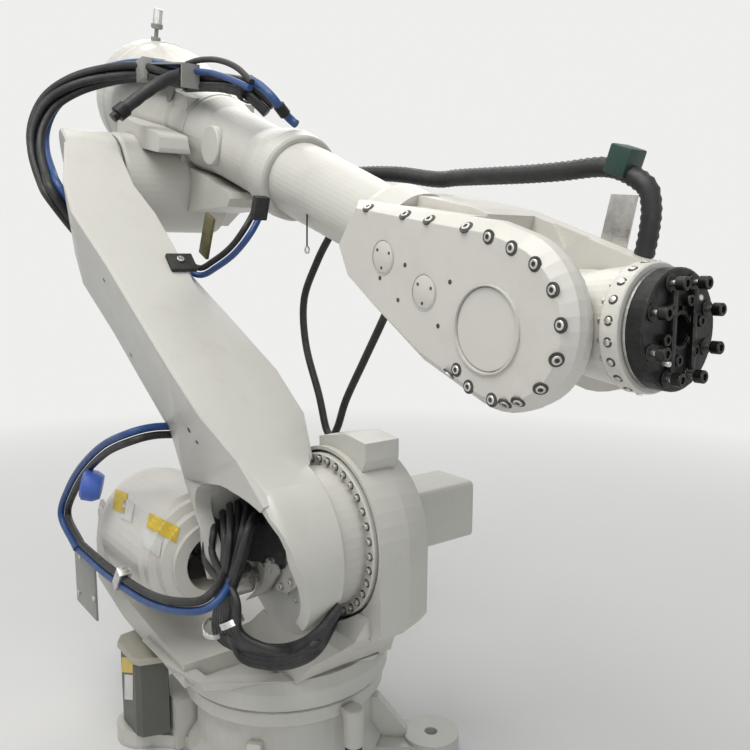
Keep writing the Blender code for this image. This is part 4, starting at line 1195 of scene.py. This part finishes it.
def tube_hoses():
    """The hose along the far side of the tube, the loop that hangs below it and a lanyard."""
    start = [WRIST @ Vector(p) for p in TUBE_HOSE_START]
    run = start + [Vector((x, TUBE_HOSE_Y, z)) for x, z in TUBE_HOSE_RUN]
    hose("tube_hose", run, TUBE_HOSE_RADIUS, BLACK_HOSE, ("wrist",), ribs=0.0022, step=0.008)
    bm = bmesh.new()
    box_on(bm, WRIST @ Matrix.Translation(TUBE_CLAMP), TUBE_CLAMP_LOW, TUBE_CLAMP_HIGH, 0.005)
    piece("tube_hose_clamp", bm, "wrist", "dark_grey_paint", GREEN_CLAMP)
    loop = route(HANGING_LOOP)
    hose("hanging_loop_hose", loop, HANGING_RADIUS, BLACK_HOSE, ("upper_arm", "wrist"))
    top = first_surface(*LANYARD_TOP)
    line = [top] + route([(px, py, top.y) for px, py in LANYARD])
    hose("lanyard", line, LANYARD_RADIUS, BLACK_HOSE, ("upper_arm",), step=0.005)
    eye = (*LANYARD_EYE, top.y)
    clamp_ring("lanyard_eye", eye, (0, 1, 0), 0.007, 0.004, "upper_arm", "steel", CHROME, 0.003)


# corner pixels of the blank labels, yellow and white in turn
BALANCER_LABELS = [
    ((150, 513), (180, 528), (176, 543), (147, 527)),
    ((145, 529), (163, 540), (160, 558), (142, 545)),
    ((116, 489), (128, 494), (125, 515), (113, 509)),
    ((124, 499), (135, 504), (132, 523), (121, 518)),
]
BOX_LABELS = [
    ((122, 657), (133, 658), (133, 673), (122, 672)),
    ((122, 674), (133, 675), (133, 700), (122, 699)),
]
VINYLS = (YELLOW_LABEL, WHITE_LABEL)


def labels():
    for i, corners in enumerate(BALANCER_LABELS):
        name = f"balancer_label_{i + 1}"
        decal(name, corners, "balancer_cylinder", "balancer", "bracket_grey", VINYLS[i % 2])
    for i, corners in enumerate(BOX_LABELS):
        name = f"box_label_{i + 1}"
        decal(name, corners, "connection_box", "base", "lid_beige", VINYLS[i % 2], 0.0008, 4)


# Stage, light and camera

FLOOR = (0.8, 0.8, 0.79)
FLOOR_SIZE = 30.0
FADE_START = 1.2
FADE_END = 5.5
PALE = (0.86, 0.86, 0.85)
SKY = (0.93, 0.95, 1.0)
SKY_STRENGTH = 0.25
LAMP_SIZE = 3.0
LAMP_TARGET = Vector((0.1, -0.1, 1.1))
# place, watts and colour of each lamp
LAMPS = {
    "key": ((0.7, -1.7, 5.0), 150.0, (1.0, 0.98, 0.94)),
    "fill": ((3.4, -1.6, 2.6), 26.0, (0.95, 0.97, 1.0)),
    "back": ((-2.6, 1.6, 4.0), 52.0, (1.0, 0.99, 0.97)),
}


def background_rays(tree):
    """1 for the rays that show a background: the camera's, reflected ones and those through plastic."""
    rays = tree.nodes.new("ShaderNodeLightPath")
    shown = rays.outputs["Is Camera Ray"]
    for kind in ("Is Glossy Ray", "Is Transmission Ray"):
        either = tree.nodes.new("ShaderNodeMath")
        either.operation = "MAXIMUM"
        tree.links.new(shown, either.inputs[0])
        tree.links.new(rays.outputs[kind], either.inputs[1])
        shown = either.outputs[0]
    return shown


def stage():
    """The pale floor, which fades to the plain background away from the robot."""
    n = Nodes("pale_floor")
    n.color(n.mixed(n.ranged(n.noise(1.2), 0.3, 0.7), FLOOR, shaded(FLOOR, 0.97)))
    fix(n.shader, {"Roughness": 0.7})
    reach = n.add("ShaderNodeVectorMath", operation="LENGTH")
    n.join(n.place, reach.inputs[0])
    far = n.ranged(reach.outputs["Value"], FADE_START, FADE_END)
    glow = n.add("ShaderNodeEmission")
    fix(glow, {"Color": (*PALE, 1.0)})
    mix = n.add("ShaderNodeMixShader")
    n.join(n.times(far, background_rays(n.tree)), mix.inputs[0])
    n.join(n.shader.outputs[0], mix.inputs[1])
    n.join(glow.outputs[0], mix.inputs[2])
    n.join(mix.outputs[0], n.tree.nodes["Material Output"].inputs["Surface"])
    bm = bmesh.new()
    bmesh.ops.create_grid(bm, x_segments=1, y_segments=1, size=FLOOR_SIZE)
    floor = add_mesh("floor", bm)
    floor.data.materials.append(n.material)


def sky():
    """A weak even light, which shows as the plain background colour."""
    world = bpy.data.worlds.new("studio")
    bpy.context.scene.world = world
    world.use_nodes = True
    tree = world.node_tree
    dim = tree.nodes["Background"]
    fix(dim, {"Color": (*SKY, 1.0), "Strength": SKY_STRENGTH})
    pale = tree.nodes.new("ShaderNodeBackground")
    fix(pale, {"Color": (*PALE, 1.0), "Strength": 1.0})
    mix = tree.nodes.new("ShaderNodeMixShader")
    tree.links.new(background_rays(tree), mix.inputs[0])
    tree.links.new(dim.outputs[0], mix.inputs[1])
    tree.links.new(pale.outputs[0], mix.inputs[2])
    tree.links.new(mix.outputs[0], tree.nodes["World Output"].inputs[0])


def lamps():
    for name, (place, power, color) in LAMPS.items():
        lamp = bpy.data.lights.new(name, "AREA")
        lamp.size = LAMP_SIZE
        lamp.energy = power
        lamp.color = color
        obj = add_object(name, lamp)
        obj.location = place
        obj.rotation_euler = (Vector(place) - LAMP_TARGET).to_track_quat("Z", "Y").to_euler()


def camera():
    data = bpy.data.cameras.new("photo_camera")
    data.sensor_width = 36.0
    data.lens = FOCAL_PIXELS / PICTURE * data.sensor_width
    data.clip_start, data.clip_end = 0.05, 80.0
    obj = add_object("photo_camera", data)
    obj.matrix_world = axes_at(RIGHT, UP, -FORWARD, CAMERA_PLACE)
    bpy.context.scene.camera = obj
    bpy.context.scene.view_settings.view_transform = "Standard"


camera()
sky()
lamps()
stage()
dress_frame()
lower_arm_casting()
rear_bundle()
ring_hoses()
hub_cables()
hub_inside()
bracket_lines()
tube_hoses()
labels()
wrist_screws()
round_plugs()
round_plate_rim()
nose_screws()
adapter_screws()
gear_screws()
hub_screws()
arm_holes()
clamp_plate()
